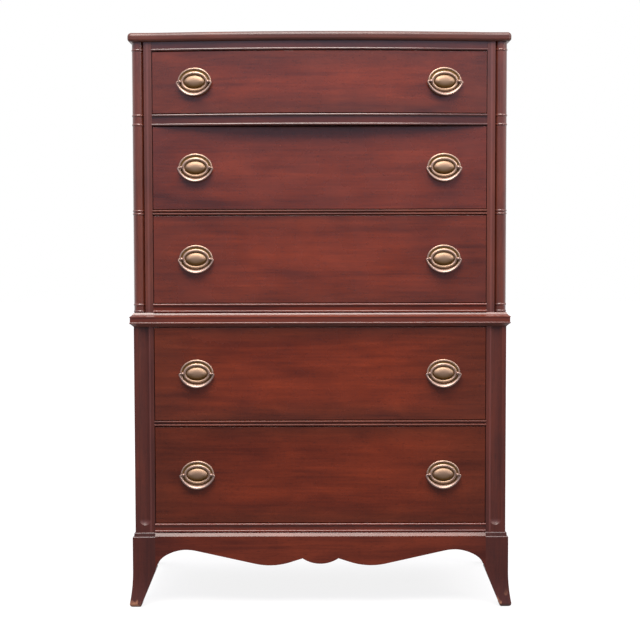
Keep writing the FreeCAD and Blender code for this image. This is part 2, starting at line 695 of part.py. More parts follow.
def make_drawer_back(number):
    low, high = drawer_levels(number)
    bottom = low + DRAWER_BOTTOM_RAISE + DRAWER_BOTTOM_THICKNESS
    half = OPENING_HALF - DRAWER_SIDE_GAP - DRAWER_SIDE_THICKNESS + DRAWER_BACK_HOUSING
    end = FRONT + DRAWER_LENGTH - DRAWER_BACK_INSET
    return wide_box(half, end - DRAWER_BACK_THICKNESS, end, bottom, high)


def make_drawer_side(number, cuts):
    """The right side: dovetailed to the front, housed for the back and grooved for the bottom."""
    low, high = drawer_levels(number)
    outer = OPENING_HALF - DRAWER_SIDE_GAP
    board = box(outer - DRAWER_SIDE_THICKNESS, outer, FRONT, FRONT + DRAWER_LENGTH, low, high)
    ahead = slab_section(FRONT - 2 * BOW, FRONT + DRAWER_FRONT_THICKNESS, low, high)
    board = board.cut(sweep(number, ahead, OPENING_HALF))
    return board.fuse(make_tails(number)).removeSplitter().cut(cuts)


def make_drawer(number):
    """Every piece of one drawer, by node name."""
    blank = front_blank(number)
    bottom = make_drawer_bottom(number)
    back = make_drawer_back(number)
    side = make_drawer_side(number, [bottom, back])
    tails = make_tails(number)
    sockets = tails + [mirrored(tail) for tail in tails]
    holes = []
    fittings = []
    bails = {}
    for name, hand in (("left", -1), ("right", 1)):
        place = pull_place(number, hand)
        holes += [placed(hole, place) for hole in pair(bolt_hole())]
        fittings += [placed(piece, place) for piece in make_pull()]
        bails[f"drawer_{number}_{name}_bail"] = [placed(make_bail(), place)]
    pieces = {
        f"drawer_{number}_front": [blank.cut(sockets + holes + [bottom])],
        f"drawer_{number}_sides": pair(side),
        f"drawer_{number}_back": [back],
        f"drawer_{number}_bottom": [bottom, make_drawer_runner(number)],
        f"drawer_{number}_pulls": fittings,
    }
    pieces.update(bails)
    return pieces


# Oval bail pulls, drawn at the origin with the drawer face in the plane y = 0


def pull_place(number, hand):
    """Where a pull's centre lies on its drawer face, turned to face squarely off the bow."""
    x = hand * (OPENING_HALF - PULL_INSET)
    z = FLOORS[number - 1] + OPENINGS[number - 1] / 2 + PULL_RISE
    if number != BOWED_DRAWER:
        return FreeCAD.Placement(V(x, FRONT, z), FreeCAD.Rotation())
    y = BOW_CENTRE.y - math.sqrt(BOW_RADIUS**2 - x**2)
    return FreeCAD.Placement(V(x, y, z), FreeCAD.Rotation(UP, math.degrees(math.asin(x / BOW_RADIUS))))


def placed(shape, place):
    moved = shape.copy()
    moved.Placement = place.multiply(moved.Placement)
    return moved


def swelling(start, end, low, high, turn, steps):
    """Contours of a rounded form: inset and height along a half (or quarter) turn between two insets."""
    contours = []
    for step in range(1, steps + 1):
        angle = turn * step / steps
        share = (1 - math.cos(angle)) / (1 - math.cos(turn))
        contours.append((start + (end - start) * share, low + (high - low) * math.sin(angle)))
    return contours


def plate_contours():
    """The oval plate from its outer edge to its crown: a rim bead, a floor, an inner ring and a dome."""
    ring = PLATE_RIM_WIDTH + PLATE_FLOOR_WIDTH
    groove = ring + PLATE_RING_WIDTH
    dome = groove + PLATE_GROOVE_WIDTH
    crown = PLATE_HALF_HEIGHT - PLATE_CROWN
    contours = [(0, 0), (0, PLATE_EDGE)]
    contours += swelling(0, PLATE_RIM_WIDTH, PLATE_EDGE, PLATE_RIM_HEIGHT, math.pi, 4)
    contours += [(ring, PLATE_EDGE)]
    contours += swelling(ring, groove, PLATE_EDGE, PLATE_RING_HEIGHT, math.pi, 4)
    contours += [(dome, PLATE_EDGE)]
    contours += swelling(dome, crown, PLATE_EDGE, PLATE_DOME_HEIGHT, math.pi / 2, 4)
    return contours


def make_plate():
    """The stamped plate: a beaded rim, an inner ring and a central dome."""
    contours = []
    for inset, height in plate_contours():
        oval = Part.Ellipse(V(0, 0, height + PULL_SEAT), PLATE_HALF_WIDTH - inset, PLATE_HALF_HEIGHT - inset)
        contours.append(Part.Wire([oval.toShape()]))
    plate = Part.makeLoft(contours, True, True)
    plate.rotate(ORIGIN, V(1, 0, 0), 90)
    return plate


def outward_revolve(profile):
    """Turns a profile of radius and height about the right-hand post's axis, standing off the drawer."""
    turned = profile.face().revolve(ORIGIN, UP, 360)
    turned.rotate(ORIGIN, V(1, 0, 0), 90)
    return turned.translated(V(POST_SPACING / 2, 0, 0))


def make_pull_post():
    """The right-hand post: a bolt through the drawer front, a neck and a ball bored for the bail's pin."""
    inner = -(DRAWER_FRONT_THICKNESS + NUT_SEAT + NUT_THICKNESS + BOLT_TAIL)
    ball_foot = PIVOT_HEIGHT - math.sqrt(POST_BALL_RADIUS**2 - POST_NECK_RADIUS**2)
    profile = Outline("front", 0, inner).line(BOLT_RADIUS, inner).line(BOLT_RADIUS, PULL_SEAT)
    profile.line(POST_NECK_RADIUS, PULL_SEAT).line(POST_NECK_RADIUS, ball_foot)
    profile.arc((POST_BALL_RADIUS, PIVOT_HEIGHT), (0, PIVOT_HEIGHT + POST_BALL_RADIUS))
    tip = pin_tip() - PIN_END_CLEARANCE
    bore = Part.makeCylinder(PIN_RADIUS + PIN_CLEARANCE, POST_SPACING, V(tip, -PIVOT_HEIGHT, 0), V(1, 0, 0))
    return outward_revolve(profile).cut(bore)


def pin_tip():
    """How far from the pull's middle a bail's pin ends."""
    return POST_SPACING / 2 + POST_BALL_RADIUS - PIN_DEPTH


def bolt_hole():
    """The right-hand hole through the drawer front."""
    radius = BOLT_RADIUS + BOLT_CLEARANCE
    start = V(POST_SPACING / 2, -DRAWER_FRONT_THICKNESS, 0)
    return Part.makeCylinder(radius, 3 * DRAWER_FRONT_THICKNESS, start, V(0, 1, 0))


def make_nut():
    """The right-hand square nut behind the drawer front."""
    start = DRAWER_FRONT_THICKNESS + NUT_SEAT
    half = NUT_WIDTH / 2
    middle = POST_SPACING / 2
    nut = box(middle - half, middle + half, start, start + NUT_THICKNESS, -half, half)
    thread = Part.makeCylinder(BOLT_RADIUS, NUT_THICKNESS, V(middle, start, 0), V(0, 1, 0))
    return nut.cut(thread)


def make_pull():
    """The fixed pieces of one pull: its plate, two posts and two nuts."""
    posts = pair(make_pull_post())
    return [make_plate().cut(posts)] + posts + pair(make_nut())


def bail_stations():
    """Places along the bail from its right pin to its left one: centre, direction, half width and half depth."""
    free = BAIL_DROP - BAIL_BEND_RADIUS
    lift = (BAIL_BEND_X**2 + BAIL_BEND_RADIUS**2 - free**2) / (2 * (free - BAIL_BEND_RADIUS))
    slope = math.atan2(lift + BAIL_BEND_RADIUS, BAIL_BEND_X)

    def on_arc(x, z, radius, angle, width, depth):
        centre = V(x + radius * math.cos(angle), -PIVOT_HEIGHT, z + radius * math.sin(angle))
        return centre, V(math.sin(angle), 0, -math.cos(angle)), width, depth

    stations = [(V(pin_tip(), -PIVOT_HEIGHT, 0), V(1, 0, 0), PIN_RADIUS, PIN_RADIUS)]
    for step in range(BAIL_BEND_STEPS + 1):
        share = step / BAIL_BEND_STEPS
        angle = math.pi / 2 - (math.pi / 2 + slope) * share
        radius = PIN_RADIUS + (BAIL_END_RADIUS - PIN_RADIUS) * share
        stations.append(on_arc(BAIL_BEND_X, -BAIL_BEND_RADIUS, BAIL_BEND_RADIUS, angle, radius, radius))
    for step in range(1, BAIL_BOW_STEPS // 2 + 1):
        share = step / BAIL_BOW_STEPS
        angle = -slope - (math.pi - 2 * slope) * share
        swell = math.sin(math.pi * share)
        width = BAIL_END_RADIUS + (BAIL_GRIP_HALF_WIDTH - BAIL_END_RADIUS) * swell
        depth = BAIL_END_RADIUS + (BAIL_GRIP_HALF_DEPTH - BAIL_END_RADIUS) * swell
        stations.append(on_arc(0, lift, lift + BAIL_DROP, angle, width, depth))
    left = [(V(-place.x, place.y, place.z), V(along.x, 0, -along.z), *size) for place, along, *size in stations[-2::-1]]
    return stations + left


def make_bail():
    """The swinging bail: a pin and a tight bend at each end of a flattened bow that broadens to its grip."""
    rings = []
    inwards = V(0, 1, 0)
    for centre, along, width, depth in bail_stations():
        ring = Part.Wire([Part.Ellipse(ORIGIN, width, depth).toShape()])
        ring.Placement = FreeCAD.Placement(centre, FreeCAD.Rotation(inwards.cross(along), inwards, along))
        rings.append(ring)
    return Part.makeLoft(rings, True, True)


def make_nodes():
    """Every node's solids, by name."""
    nodes = {
        "top_board": [make_top()],
        "back_panel": [make_back()],
        "waist_moulding": make_waist(),
        "front_apron": [make_front_apron()],
        "side_aprons": pair(make_side_apron()),
        "front_feet": pair(make_foot(True)),
        "back_feet": pair(make_foot(False)),
        "glue_blocks": make_glue_blocks(),
        "web_frames": make_web_frames(),
        "dust_panels": make_dust_panels(),
        "drawer_guides": make_guides(),
        "top_screws": make_screws(),
    }
    handed = {"side_panel": make_side(), "post": make_post(), "column": make_column()}
    for name, shape in handed.items():
        nodes[f"right_{name}"], nodes[f"left_{name}"] = ([piece] for piece in pair(shape))
    for name in rail_spans():
        nodes[name] = [make_rail(name)]
    for number in range(1, len(FLOORS) + 1):
        nodes.update(make_drawer(number))
    return nodes


def main():
    os.makedirs("parts", exist_ok=True)
    for name, solids in make_nodes().items():
        shape = solids[0] if len(solids) == 1 else Part.makeCompound(solids)
        shape.exportStep(f"parts/{name}.step")


if __name__ == "__main__":
    main()
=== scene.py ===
"""Looks of a tall mahogany chest with a bowed top drawer and oval brass pulls.

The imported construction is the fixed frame. Its wooden pieces stay as they are and get lacquered
or bare finishes. The oval pulls, their bails and the nails of the back are modelled here as fine
meshes, on the places that the frame gives. Metres, +Z up, and the front faces -Y.
"""

import json
import logging
import math
from dataclasses import dataclass, field
from enum import Enum

import bmesh
import bpy
from mathutils import Matrix, Vector


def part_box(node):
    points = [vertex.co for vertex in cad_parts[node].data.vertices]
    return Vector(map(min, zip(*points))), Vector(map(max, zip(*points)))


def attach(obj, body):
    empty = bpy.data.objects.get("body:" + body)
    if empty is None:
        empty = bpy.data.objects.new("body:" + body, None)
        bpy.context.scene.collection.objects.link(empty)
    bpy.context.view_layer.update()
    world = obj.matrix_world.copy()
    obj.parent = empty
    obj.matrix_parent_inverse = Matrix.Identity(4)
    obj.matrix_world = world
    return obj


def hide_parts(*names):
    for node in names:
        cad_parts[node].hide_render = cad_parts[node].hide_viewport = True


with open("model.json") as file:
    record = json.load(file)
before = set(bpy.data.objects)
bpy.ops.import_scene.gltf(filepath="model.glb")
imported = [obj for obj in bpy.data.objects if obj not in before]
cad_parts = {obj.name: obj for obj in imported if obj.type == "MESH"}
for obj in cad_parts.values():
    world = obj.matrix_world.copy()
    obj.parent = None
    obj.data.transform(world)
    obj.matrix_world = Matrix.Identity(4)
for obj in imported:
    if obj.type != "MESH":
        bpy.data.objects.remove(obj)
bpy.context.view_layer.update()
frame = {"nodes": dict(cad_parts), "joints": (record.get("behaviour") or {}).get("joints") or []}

# Attributes on points: how deep a point of the brass lies, with painted shade added on the plate's
# down-facing slopes and lower half, and how the bail's bar is shaped there
HOLLOW_AND_SHADE = "hollow"
SECTION = "section"

ORIGIN = (0.0, 0.0, 0.0)
BLACK = (0.0, 0.0, 0.0)
WHITE = (1.0, 1.0, 1.0)
QUARTER_TURN = math.pi / 2
MERGE_DISTANCE = 1e-6

# Sockets of a Mix node for colours, by number
MIX_FACTOR, MIX_FIRST, MIX_SECOND, MIX_RESULT = 0, 6, 7, 2

Material = bpy.types.Material
Mesh = bpy.types.Mesh
Socket = bpy.types.NodeSocket
Tree = bpy.types.NodeTree
Colour = tuple[float, float, float]
Triple = tuple[float, float, float]
Pair = tuple[float, float]
Copies = list[tuple[Mesh, Matrix]]
Inputs = dict[str | int, object]
Sockets = dict[str, Socket]

log = logging.getLogger("chest")


class Grain(Enum):
    """The direction in which a piece's grain runs, as the turn that lays it along X."""

    ALONG_X = (0.0, 0.0, 0.0)
    ALONG_Y = (0.0, 0.0, -QUARTER_TURN)
    ALONG_Z = (0.0, QUARTER_TURN, 0.0)


class Hand(Enum):
    """The two sides of the chest, as the sign of X."""

    LEFT = -1
    RIGHT = 1


class TreeKind(Enum):
    """The two kinds of node group."""

    SHADER = "ShaderNodeTree"
    GEOMETRY = "GeometryNodeTree"


# Node trees


class NodeCanvas:
    """Adds nodes to one tree and wires them up."""

    def __init__(self, tree: Tree) -> None:
        """Starts on a shader, world or geometry tree."""
        self.tree = tree

    def feed(self, target: Socket, value: object) -> None:
        """Links a socket to an input, or sets the input's own value.

        Args:
            target: The input socket.
            value: A socket, or a plain value.
        """
        if isinstance(value, Socket):
            self.tree.links.new(value, target)
        else:
            target.default_value = value

    def fill(self, node: bpy.types.Node, inputs: Inputs) -> None:
        """Feeds several inputs of a node, by name or by number."""
        for name, value in inputs.items():
            self.feed(node.inputs[name], value)

    def add(self, kind: str, inputs: Inputs | None = None, **settings: object) -> bpy.types.Node:
        """Adds one node.

        Args:
            kind: The node's type name.
            inputs: What feeds its inputs, by name or by number.
            settings: Properties to set on it, before its inputs.

        Returns:
            The new node.
        """
        node = self.tree.nodes.new(kind)
        for name, value in settings.items():
            setattr(node, name, value)
        self.fill(node, inputs or {})
        return node

    def math(self, operation: str, *values: object, clamp: bool = False) -> Socket:
        """Adds a Math node on one to three sockets or numbers, and gives its result."""
        node = self.add("ShaderNodeMath", dict(enumerate(values)), operation=operation, use_clamp=clamp)
        return node.outputs[0]

    def vector(self, operation: str, *values: object) -> Socket:
        """Adds a Vector Math node on sockets or triples, and gives the resulting vector."""
        return self.add("ShaderNodeVectorMath", dict(enumerate(values)), operation=operation).outputs[0]

    def parts(self, vector: Socket) -> list[Socket]:
        """Splits a vector into its three components."""
        return list(self.add("ShaderNodeSeparateXYZ", {0: vector}).outputs)

    def joined(self, x: object = 0.0, y: object = 0.0, z: object = 0.0) -> Socket:
        """Makes a vector from its three components."""
        return self.add("ShaderNodeCombineXYZ", {"X": x, "Y": y, "Z": z}).outputs[0]

    def ramp(
        self, value: Socket, low: object, high: object, to_low: float = 0.0, to_high: float = 1.0
    ) -> Socket:
        """Maps a value smoothly from one range to another, and holds it at the ends.

        Args:
            value: The value's socket.
            low: Where the ramp starts.
            high: Where it ends.
            to_low: The result at the start.
            to_high: The result at the end.

        Returns:
            The result's socket.
        """
        inputs = dict(enumerate((value, low, high, to_low, to_high)))
        return self.add("ShaderNodeMapRange", inputs, interpolation_type="SMOOTHSTEP").outputs[0]

    def noise(self, vector: Socket, waves: float | Triple, detail: float = 2.0, bend: float = 0.0) -> Socket:
        """Adds a noise of about 0.5 on average.

        Args:
            vector: Where it is read.
            waves: Waves per metre, alike all ways or along X, Y and Z.
            detail: How many finer layers it has.
            bend: How much it is distorted.

        Returns:
            The noise value's socket.
        """
        stretch = waves if isinstance(waves, tuple) else (waves, waves, waves)
        place = self.vector("MULTIPLY", vector, stretch)
        inputs = {"Vector": place, "Scale": 1.0, "Detail": detail, "Distortion": bend}
        return self.add("ShaderNodeTexNoise", inputs).outputs[0]

    def varied(self, value: object, noise: Socket, amount: object, clamp: bool = False) -> Socket:
        """Lets a value swing up and down with a noise.

        Args:
            value: The value in the middle of the swing.
            noise: The noise, about 0.5 on average.
            amount: How far the value goes for a noise from 0 to 1.
            clamp: Whether the result stays between 0 and 1.

        Returns:
            The result's socket.
        """
        return self.math("MULTIPLY_ADD", self.math("SUBTRACT", noise, 0.5), amount, value, clamp=clamp)

    def mix(self, factor: object, first: object, second: object, blend: str = "MIX") -> Socket:
        """Mixes two colours.

        Args:
            factor: The share of the second.
            first: A socket or colour.
            second: A socket or colour.
            blend: The way of mixing.

        Returns:
            The mixed colour's socket.
        """
        inputs = {MIX_FACTOR: factor, MIX_FIRST: opaque(first), MIX_SECOND: opaque(second)}
        return self.add("ShaderNodeMix", inputs, data_type="RGBA", blend_type=blend).outputs[MIX_RESULT]

    def group(self, tree: Tree, **inputs: object) -> Sockets:
        """Places a shader node group.

        Args:
            tree: The group.
            inputs: Its inputs by name, with _ for each space.

        Returns:
            Its outputs by name.
        """
        named = {name.replace("_", " "): value for name, value in inputs.items()}
        return dict(self.add("ShaderNodeGroup", named, node_tree=tree).outputs.items())

    def bump(self, height: Socket, strength: float, distance: float) -> Socket:
        """Turns a height into a normal, with its strength and its full height in metres."""
        inputs = {"Strength": strength, "Distance": distance, "Height": height}
        return self.add("ShaderNodeBump", inputs).outputs[0]

    def stored(self, shape: Socket, name: str, value: Socket, data_type: str = "FLOAT") -> Socket:
        """Keeps a value on every point of a shape.

        Args:
            shape: The shape.
            name: The attribute's name.
            value: What it gets.
            data_type: Its type.

        Returns:
            The shape with the attribute.
        """
        inputs = {"Geometry": shape, "Name": name, "Value": value}
        settings = {"data_type": data_type, "domain": "POINT"}
        return self.add("GeometryNodeStoreNamedAttribute", inputs, **settings).outputs["Geometry"]

    def recalled(self, name: str, data_type: str = "FLOAT") -> Socket:
        """Reads a value that was kept on the points."""
        node = self.add("GeometryNodeInputNamedAttribute", {"Name": name}, data_type=data_type)
        return node.outputs["Attribute"]

    def moved(self, shape: Socket, **places: Socket) -> Socket:
        """Moves a shape's points to a new Position, or by an Offset."""
        return self.add("GeometryNodeSetPosition", {"Geometry": shape, **places}).outputs["Geometry"]

    def end(self, shape: Socket, out: Socket, material: Material) -> None:
        """Ends a geometry tree: real geometry, closed seams, smooth faces and a finish.

        Args:
            shape: What has been made.
            out: The tree's output.
            material: The finish.
        """
        steps = {
            "RealizeInstances": {},
            "MergeByDistance": {"Distance": MERGE_DISTANCE},
            "SetShadeSmooth": {},
            "SetMaterial": {"Material": material},
        }
        for step, inputs in steps.items():
            shape = self.add(f"GeometryNode{step}", {"Geometry": shape, **inputs}).outputs["Geometry"]
        self.feed(out, shape)


def opaque(value: object) -> object:
    """Adds full alpha to a plain colour and leaves anything else alone."""
    return (*value, 1.0) if isinstance(value, tuple) else value


def new_group(
    name: str, kind: TreeKind, inputs: dict[str, str], outputs: dict[str, str]
) -> tuple[NodeCanvas, Sockets, Sockets]:
    """Makes an empty node group with named sockets.

    Args:
        name: The group's name.
        kind: The kind of tree.
        inputs: Socket types by input name.
        outputs: Socket types by output name.

    Returns:
        The group's canvas, and what comes in and goes out by name.
    """
    tree = bpy.data.node_groups.new(name, kind.value)
    for direction, sockets in (("INPUT", inputs), ("OUTPUT", outputs)):
        for socket, socket_type in sockets.items():
            tree.interface.new_socket(socket, in_out=direction, socket_type=f"NodeSocket{socket_type}")
    inside = tree.nodes.new("NodeGroupInput").outputs
    outside = tree.nodes.new("NodeGroupOutput").inputs
    return NodeCanvas(tree), dict(inside.items()), dict(outside.items())


@dataclass(frozen=True)
class GrainLayer:
    """One noise of a wood's figure: its waves per metre along and across the grain, and its share."""

    along: float
    across: float
    share: float = 1.0
    detail: float = 2.0
    bend: float = 0.0

    def noise(self, canvas: NodeCanvas, where: Socket) -> Socket:
        """Reads the layer at a place that is turned to have the grain along X."""
        return canvas.noise(where, (self.along, self.across, self.across), self.detail, self.bend)


class Effects:
    """The shader groups that several finishes share."""

    bands = GrainLayer(1.5, 9.0, share=0.30, bend=0.8)
    ribbons = GrainLayer(3.2, 42.0, share=0.26, bend=0.8)
    streaks = GrainLayer(9.0, 230.0, share=0.18)
    mottle = GrainLayer(7.0, 15.0, share=0.26, detail=3.0, bend=0.6)
    pores = GrainLayer(70.0, 1700.0, detail=1.0)

    def __init__(self) -> None:
        """Builds each group once."""
        self.figure = self.build_figure()
        self.shading = self.build_shading()
        self.scuffs = self.build_scuffs()
        self.tarnish = self.build_tarnish()

    def build_figure(self) -> Tree:
        """Straight-grained figure: broad bands, ribbons, fine streaks, mottle and open pores along X.

        Returns:
            The group, which gives a tone and a pore mask from 0 to 1.
        """
        inputs = {"Vector": "Vector", "Contrast": "Float"}
        outputs = {"Tone": "Float", "Pore": "Float"}
        canvas, inside, outside = new_group("wood_figure", TreeKind.SHADER, inputs, outputs)
        where = inside["Vector"]
        total = 0.0
        for layer in (self.bands, self.ribbons, self.streaks, self.mottle):
            total = canvas.math("MULTIPLY_ADD", layer.noise(canvas, where), layer.share, total)
        canvas.feed(outside["Tone"], canvas.varied(0.5, total, inside["Contrast"], clamp=True))
        canvas.feed(outside["Pore"], canvas.ramp(self.pores.noise(canvas, where), low=0.60, high=0.74))
        return canvas.tree

    def build_shading(self) -> Tree:
        """Sprayed toner that darkens a panel towards its edges.

        Returns:
            The group, which gives 0 in the middle of the panel and 1 at its edges.
        """
        inputs = dict.fromkeys(("Vector", "Centre", "Half Size", "Reach"), "Vector")
        canvas, inside, outside = new_group("shaded_edges", TreeKind.SHADER, inputs, {"Shade": "Float"})
        offset = canvas.vector("ABSOLUTE", canvas.vector("SUBTRACT", inside["Vector"], inside["Centre"]))
        margin = canvas.vector("SUBTRACT", inside["Half Size"], offset)
        across, _, upright = canvas.parts(canvas.vector("DIVIDE", margin, inside["Reach"]))
        nearest = canvas.math("MINIMUM", across, upright)
        uneven = canvas.varied(nearest, canvas.noise(inside["Vector"], 5.0), amount=0.25)
        canvas.feed(outside["Shade"], canvas.ramp(uneven, 0.0, 1.0, 1.0, 0.0))
        return canvas.tree

    def build_scuffs(self) -> Tree:
        """Knocks and rubbed places near the floor, and one toe with its tip worn bare.

        Returns:
            The group, which gives 1 where the lacquer is rubbed through.
        """
        inputs = {"Vector": "Vector", "Height": "Float", "Tip": "Vector"}
        canvas, inside, outside = new_group("scuffs", TreeKind.SHADER, inputs, {"Worn": "Float"})
        where = inside["Vector"]
        low_down = canvas.ramp(canvas.parts(where)[2], 0.0, inside["Height"], 1.0, 0.0)
        patches = canvas.noise(where, (55.0, 55.0, 30.0), detail=4.0, bend=0.4)
        knocks = canvas.math("MULTIPLY", low_down, canvas.ramp(patches, low=0.56, high=0.66))
        apart = canvas.add("ShaderNodeVectorMath", {0: where, 1: inside["Tip"]}, operation="DISTANCE")
        ragged = canvas.noise(where, (160.0, 160.0, 90.0), detail=3.0)
        reach = canvas.varied(apart.outputs["Value"], ragged, amount=0.02)
        tip = canvas.ramp(reach, low=0.012, high=0.020, to_low=1.0, to_high=0.0)
        canvas.feed(outside["Worn"], canvas.math("MAXIMUM", knocks, tip))
        return canvas.tree

    def build_tarnish(self) -> Tree:
        """Age on metal: all of it in the hollows, in thin clouds elsewhere, and in small specks. On the
        plate, the hollow input also holds painted shade.

        Returns:
            The group, which gives 0 on rubbed metal and 1 where it is fully aged.
        """
        inputs = {"Vector": "Vector", "Hollow": "Float", "Cloud": "Float"}
        canvas, inside, outside = new_group("tarnish", TreeKind.SHADER, inputs, {"Age": "Float"})
        clouds = canvas.noise(inside["Vector"], 160.0, detail=4.0, bend=0.6)
        thin = canvas.math("MULTIPLY", canvas.ramp(clouds, low=0.35, high=0.75), inside["Cloud"])
        specks = canvas.ramp(canvas.noise(inside["Vector"], 900.0), low=0.62, high=0.78, to_high=0.25)
        age = canvas.math("ADD", canvas.math("MAXIMUM", inside["Hollow"], thin), specks, clamp=True)
        canvas.feed(outside["Age"], age)
        return canvas.tree


EFFECTS = Effects()


# Finishes


def new_material(name: str) -> tuple[Material, NodeCanvas, bpy.types.Node]:
    """Makes a material with one principled shader.

    Args:
        name: The material's name.

    Returns:
        The material, its canvas and the shader.
    """
    material = bpy.data.materials.new(name)
    material.use_nodes = True
    return material, NodeCanvas(material.node_tree), material.node_tree.nodes["Principled BSDF"]


def figured(
    canvas: NodeCanvas, grain: Grain, contrast: float, shift: Triple = ORIGIN
) -> tuple[Socket, Sockets]:
    """Lays the wood's figure over a piece.

    Args:
        canvas: The material's canvas.
        grain: The direction of the grain.
        contrast: How strong the figure is.
        shift: How far it is moved.

    Returns:
        The place on the piece, and the figure's outputs.
    """
    place = canvas.add("ShaderNodeTexCoord").outputs["Object"]
    inputs = {"Vector": place, "Location": shift, "Rotation": grain.value}
    along = canvas.add("ShaderNodeMapping", inputs).outputs[0]
    return place, canvas.group(EFFECTS.figure, Vector=along, Contrast=contrast)


@dataclass(frozen=True)
class Panel:
    """The face of a piece whose edges are toned darker."""

    centre: Triple
    half_size: Triple
    reach: Triple


@dataclass(frozen=True)
class Lacquer:
    """Mahogany under a satin lacquer.

    The tint multiplies the wood's two colours, and the edge and pore colours multiply them again at a
    panel's toned edges and in the pores. The coat is a glossier layer, on all of the piece or above a
    height. The arris is how far an upright edge lies from the chest's middle, and a painted highlight
    runs along it there. The scuffs reach up to their height, and the worn tip is where a toe is bare.
    """

    name: str
    grain: Grain
    dark: Colour = (0.072, 0.0085, 0.0034)
    light: Colour = (0.255, 0.0355, 0.0100)
    edge: Colour = (0.64, 0.82, 1.0)
    pore: Colour = (0.42, 0.38, 0.38)
    bare: Colour = (0.30, 0.13, 0.07)
    arris_highlight_colour: Colour = (0.30, 0.11, 0.10)
    tint: Colour = WHITE
    contrast: float = 3.1
    roughness: float = 0.27
    roughness_swing: float = 0.12
    gloss: float = 0.8
    coat: float = 0.0
    coat_above: float | None = None
    coat_fade: float = 0.0005
    coat_roughness: float = 0.15
    coat_index: float = 1.6
    arris: float = 0.0
    arris_band: Pair = (0.0010, 0.0026)
    arris_highlight_strength: float = 0.22
    shift: Triple = ORIGIN
    panel: Panel | None = None
    scuff_height: float = 0.0
    worn_tip: Triple = (0.0, 0.0, -1.0)
    relief_strength: float = 0.12
    relief_height: float = 0.0004

    def material(self) -> Material:
        """Builds the finish.

        Returns:
            The material.
        """
        material, canvas, shader = new_material(self.name)
        place, figure = figured(canvas, self.grain, self.contrast, self.shift)
        dark, light = (tuple(a * b for a, b in zip(shade, self.tint)) for shade in (self.dark, self.light))
        colour = canvas.mix(figure["Tone"], dark, light)
        colour = canvas.mix(figure["Pore"], colour, self.pore, "MULTIPLY")
        cloud = canvas.noise(place, 14.0, detail=3.0)
        relief = canvas.math("SUBTRACT", figure["Tone"], figure["Pore"])
        inputs = {
            "Base Color": self.worn(canvas, place, self.toned(canvas, place, colour)),
            "Roughness": canvas.varied(self.roughness, cloud, self.roughness_swing),
            "Specular IOR Level": self.gloss,
            "Coat Weight": self.coat,
            "Coat Roughness": self.coat_roughness,
            "Coat IOR": self.coat_index,
            "Normal": canvas.bump(relief, self.relief_strength, self.relief_height),
        }
        if self.coat_above:
            low, high = self.coat_above - self.coat_fade, self.coat_above + self.coat_fade
            inputs["Coat Weight"] = canvas.ramp(canvas.parts(place)[2], low, high, 0.0, self.coat)
        canvas.fill(shader, inputs)
        return material

    def toned(self, canvas: NodeCanvas, place: Socket, colour: Socket) -> Socket:
        """Darkens a panel's edges.

        Args:
            canvas: The material's canvas.
            place: The place on the piece.
            colour: The wood's colour.

        Returns:
            The colour with its toned edges, or as it was without a panel.
        """
        if not self.panel:
            return colour
        sizes = {"Centre": self.panel.centre, "Half_Size": self.panel.half_size, "Reach": self.panel.reach}
        shading = canvas.group(EFFECTS.shading, Vector=place, **sizes)
        return canvas.mix(shading["Shade"], colour, self.edge, "MULTIPLY")

    def worn(self, canvas: NodeCanvas, place: Socket, colour: Socket) -> Socket:
        """Paints a pale highlight along the arris and rubs the scuffs bare.

        Args:
            canvas: The material's canvas.
            place: The place on the piece.
            colour: The wood's colour.

        Returns:
            The colour with its painted highlight and its scuffs.
        """
        # Painted highlight: a pale pinkish line along each post's arris, standing in for the light its edge
        # catches
        if self.arris:
            from_middle = canvas.math("ABSOLUTE", canvas.parts(place)[0])
            aside = canvas.math("ABSOLUTE", canvas.math("SUBTRACT", from_middle, self.arris))
            arris_highlight = canvas.ramp(aside, *self.arris_band, to_low=self.arris_highlight_strength, to_high=0.0)
            colour = canvas.mix(arris_highlight, colour, self.arris_highlight_colour)
        if self.scuff_height:
            scuffs = canvas.group(EFFECTS.scuffs, Vector=place, Height=self.scuff_height, Tip=self.worn_tip)
            colour = canvas.mix(scuffs["Worn"], colour, self.bare)
        return colour


@dataclass(frozen=True)
class BareWood:
    """Sanded secondary wood or plywood without a finish, a little aged."""

    name: str
    grain: Grain
    dark: Colour
    light: Colour
    pore: Colour = (0.6, 0.52, 0.45)
    contrast: float = 1.7
    dark_roughness: float = 0.78
    light_roughness: float = 0.6
    gloss: float = 0.3
    pore_strength: float = 0.25
    pore_depth: float = 0.0003

    def material(self) -> Material:
        """Builds the finish.

        Returns:
            The material.
        """
        material, canvas, shader = new_material(self.name)
        _, figure = figured(canvas, self.grain, self.contrast)
        colour = canvas.mix(figure["Tone"], self.dark, self.light)
        roughness = canvas.ramp(figure["Tone"], 0.0, 1.0, self.dark_roughness, self.light_roughness)
        inputs = {
            "Base Color": canvas.mix(figure["Pore"], colour, self.pore, "MULTIPLY"),
            "Roughness": roughness,
            "Specular IOR Level": self.gloss,
            "Normal": canvas.bump(figure["Pore"], self.pore_strength, -self.pore_depth),
        }
        canvas.fill(shader, inputs)
        return material


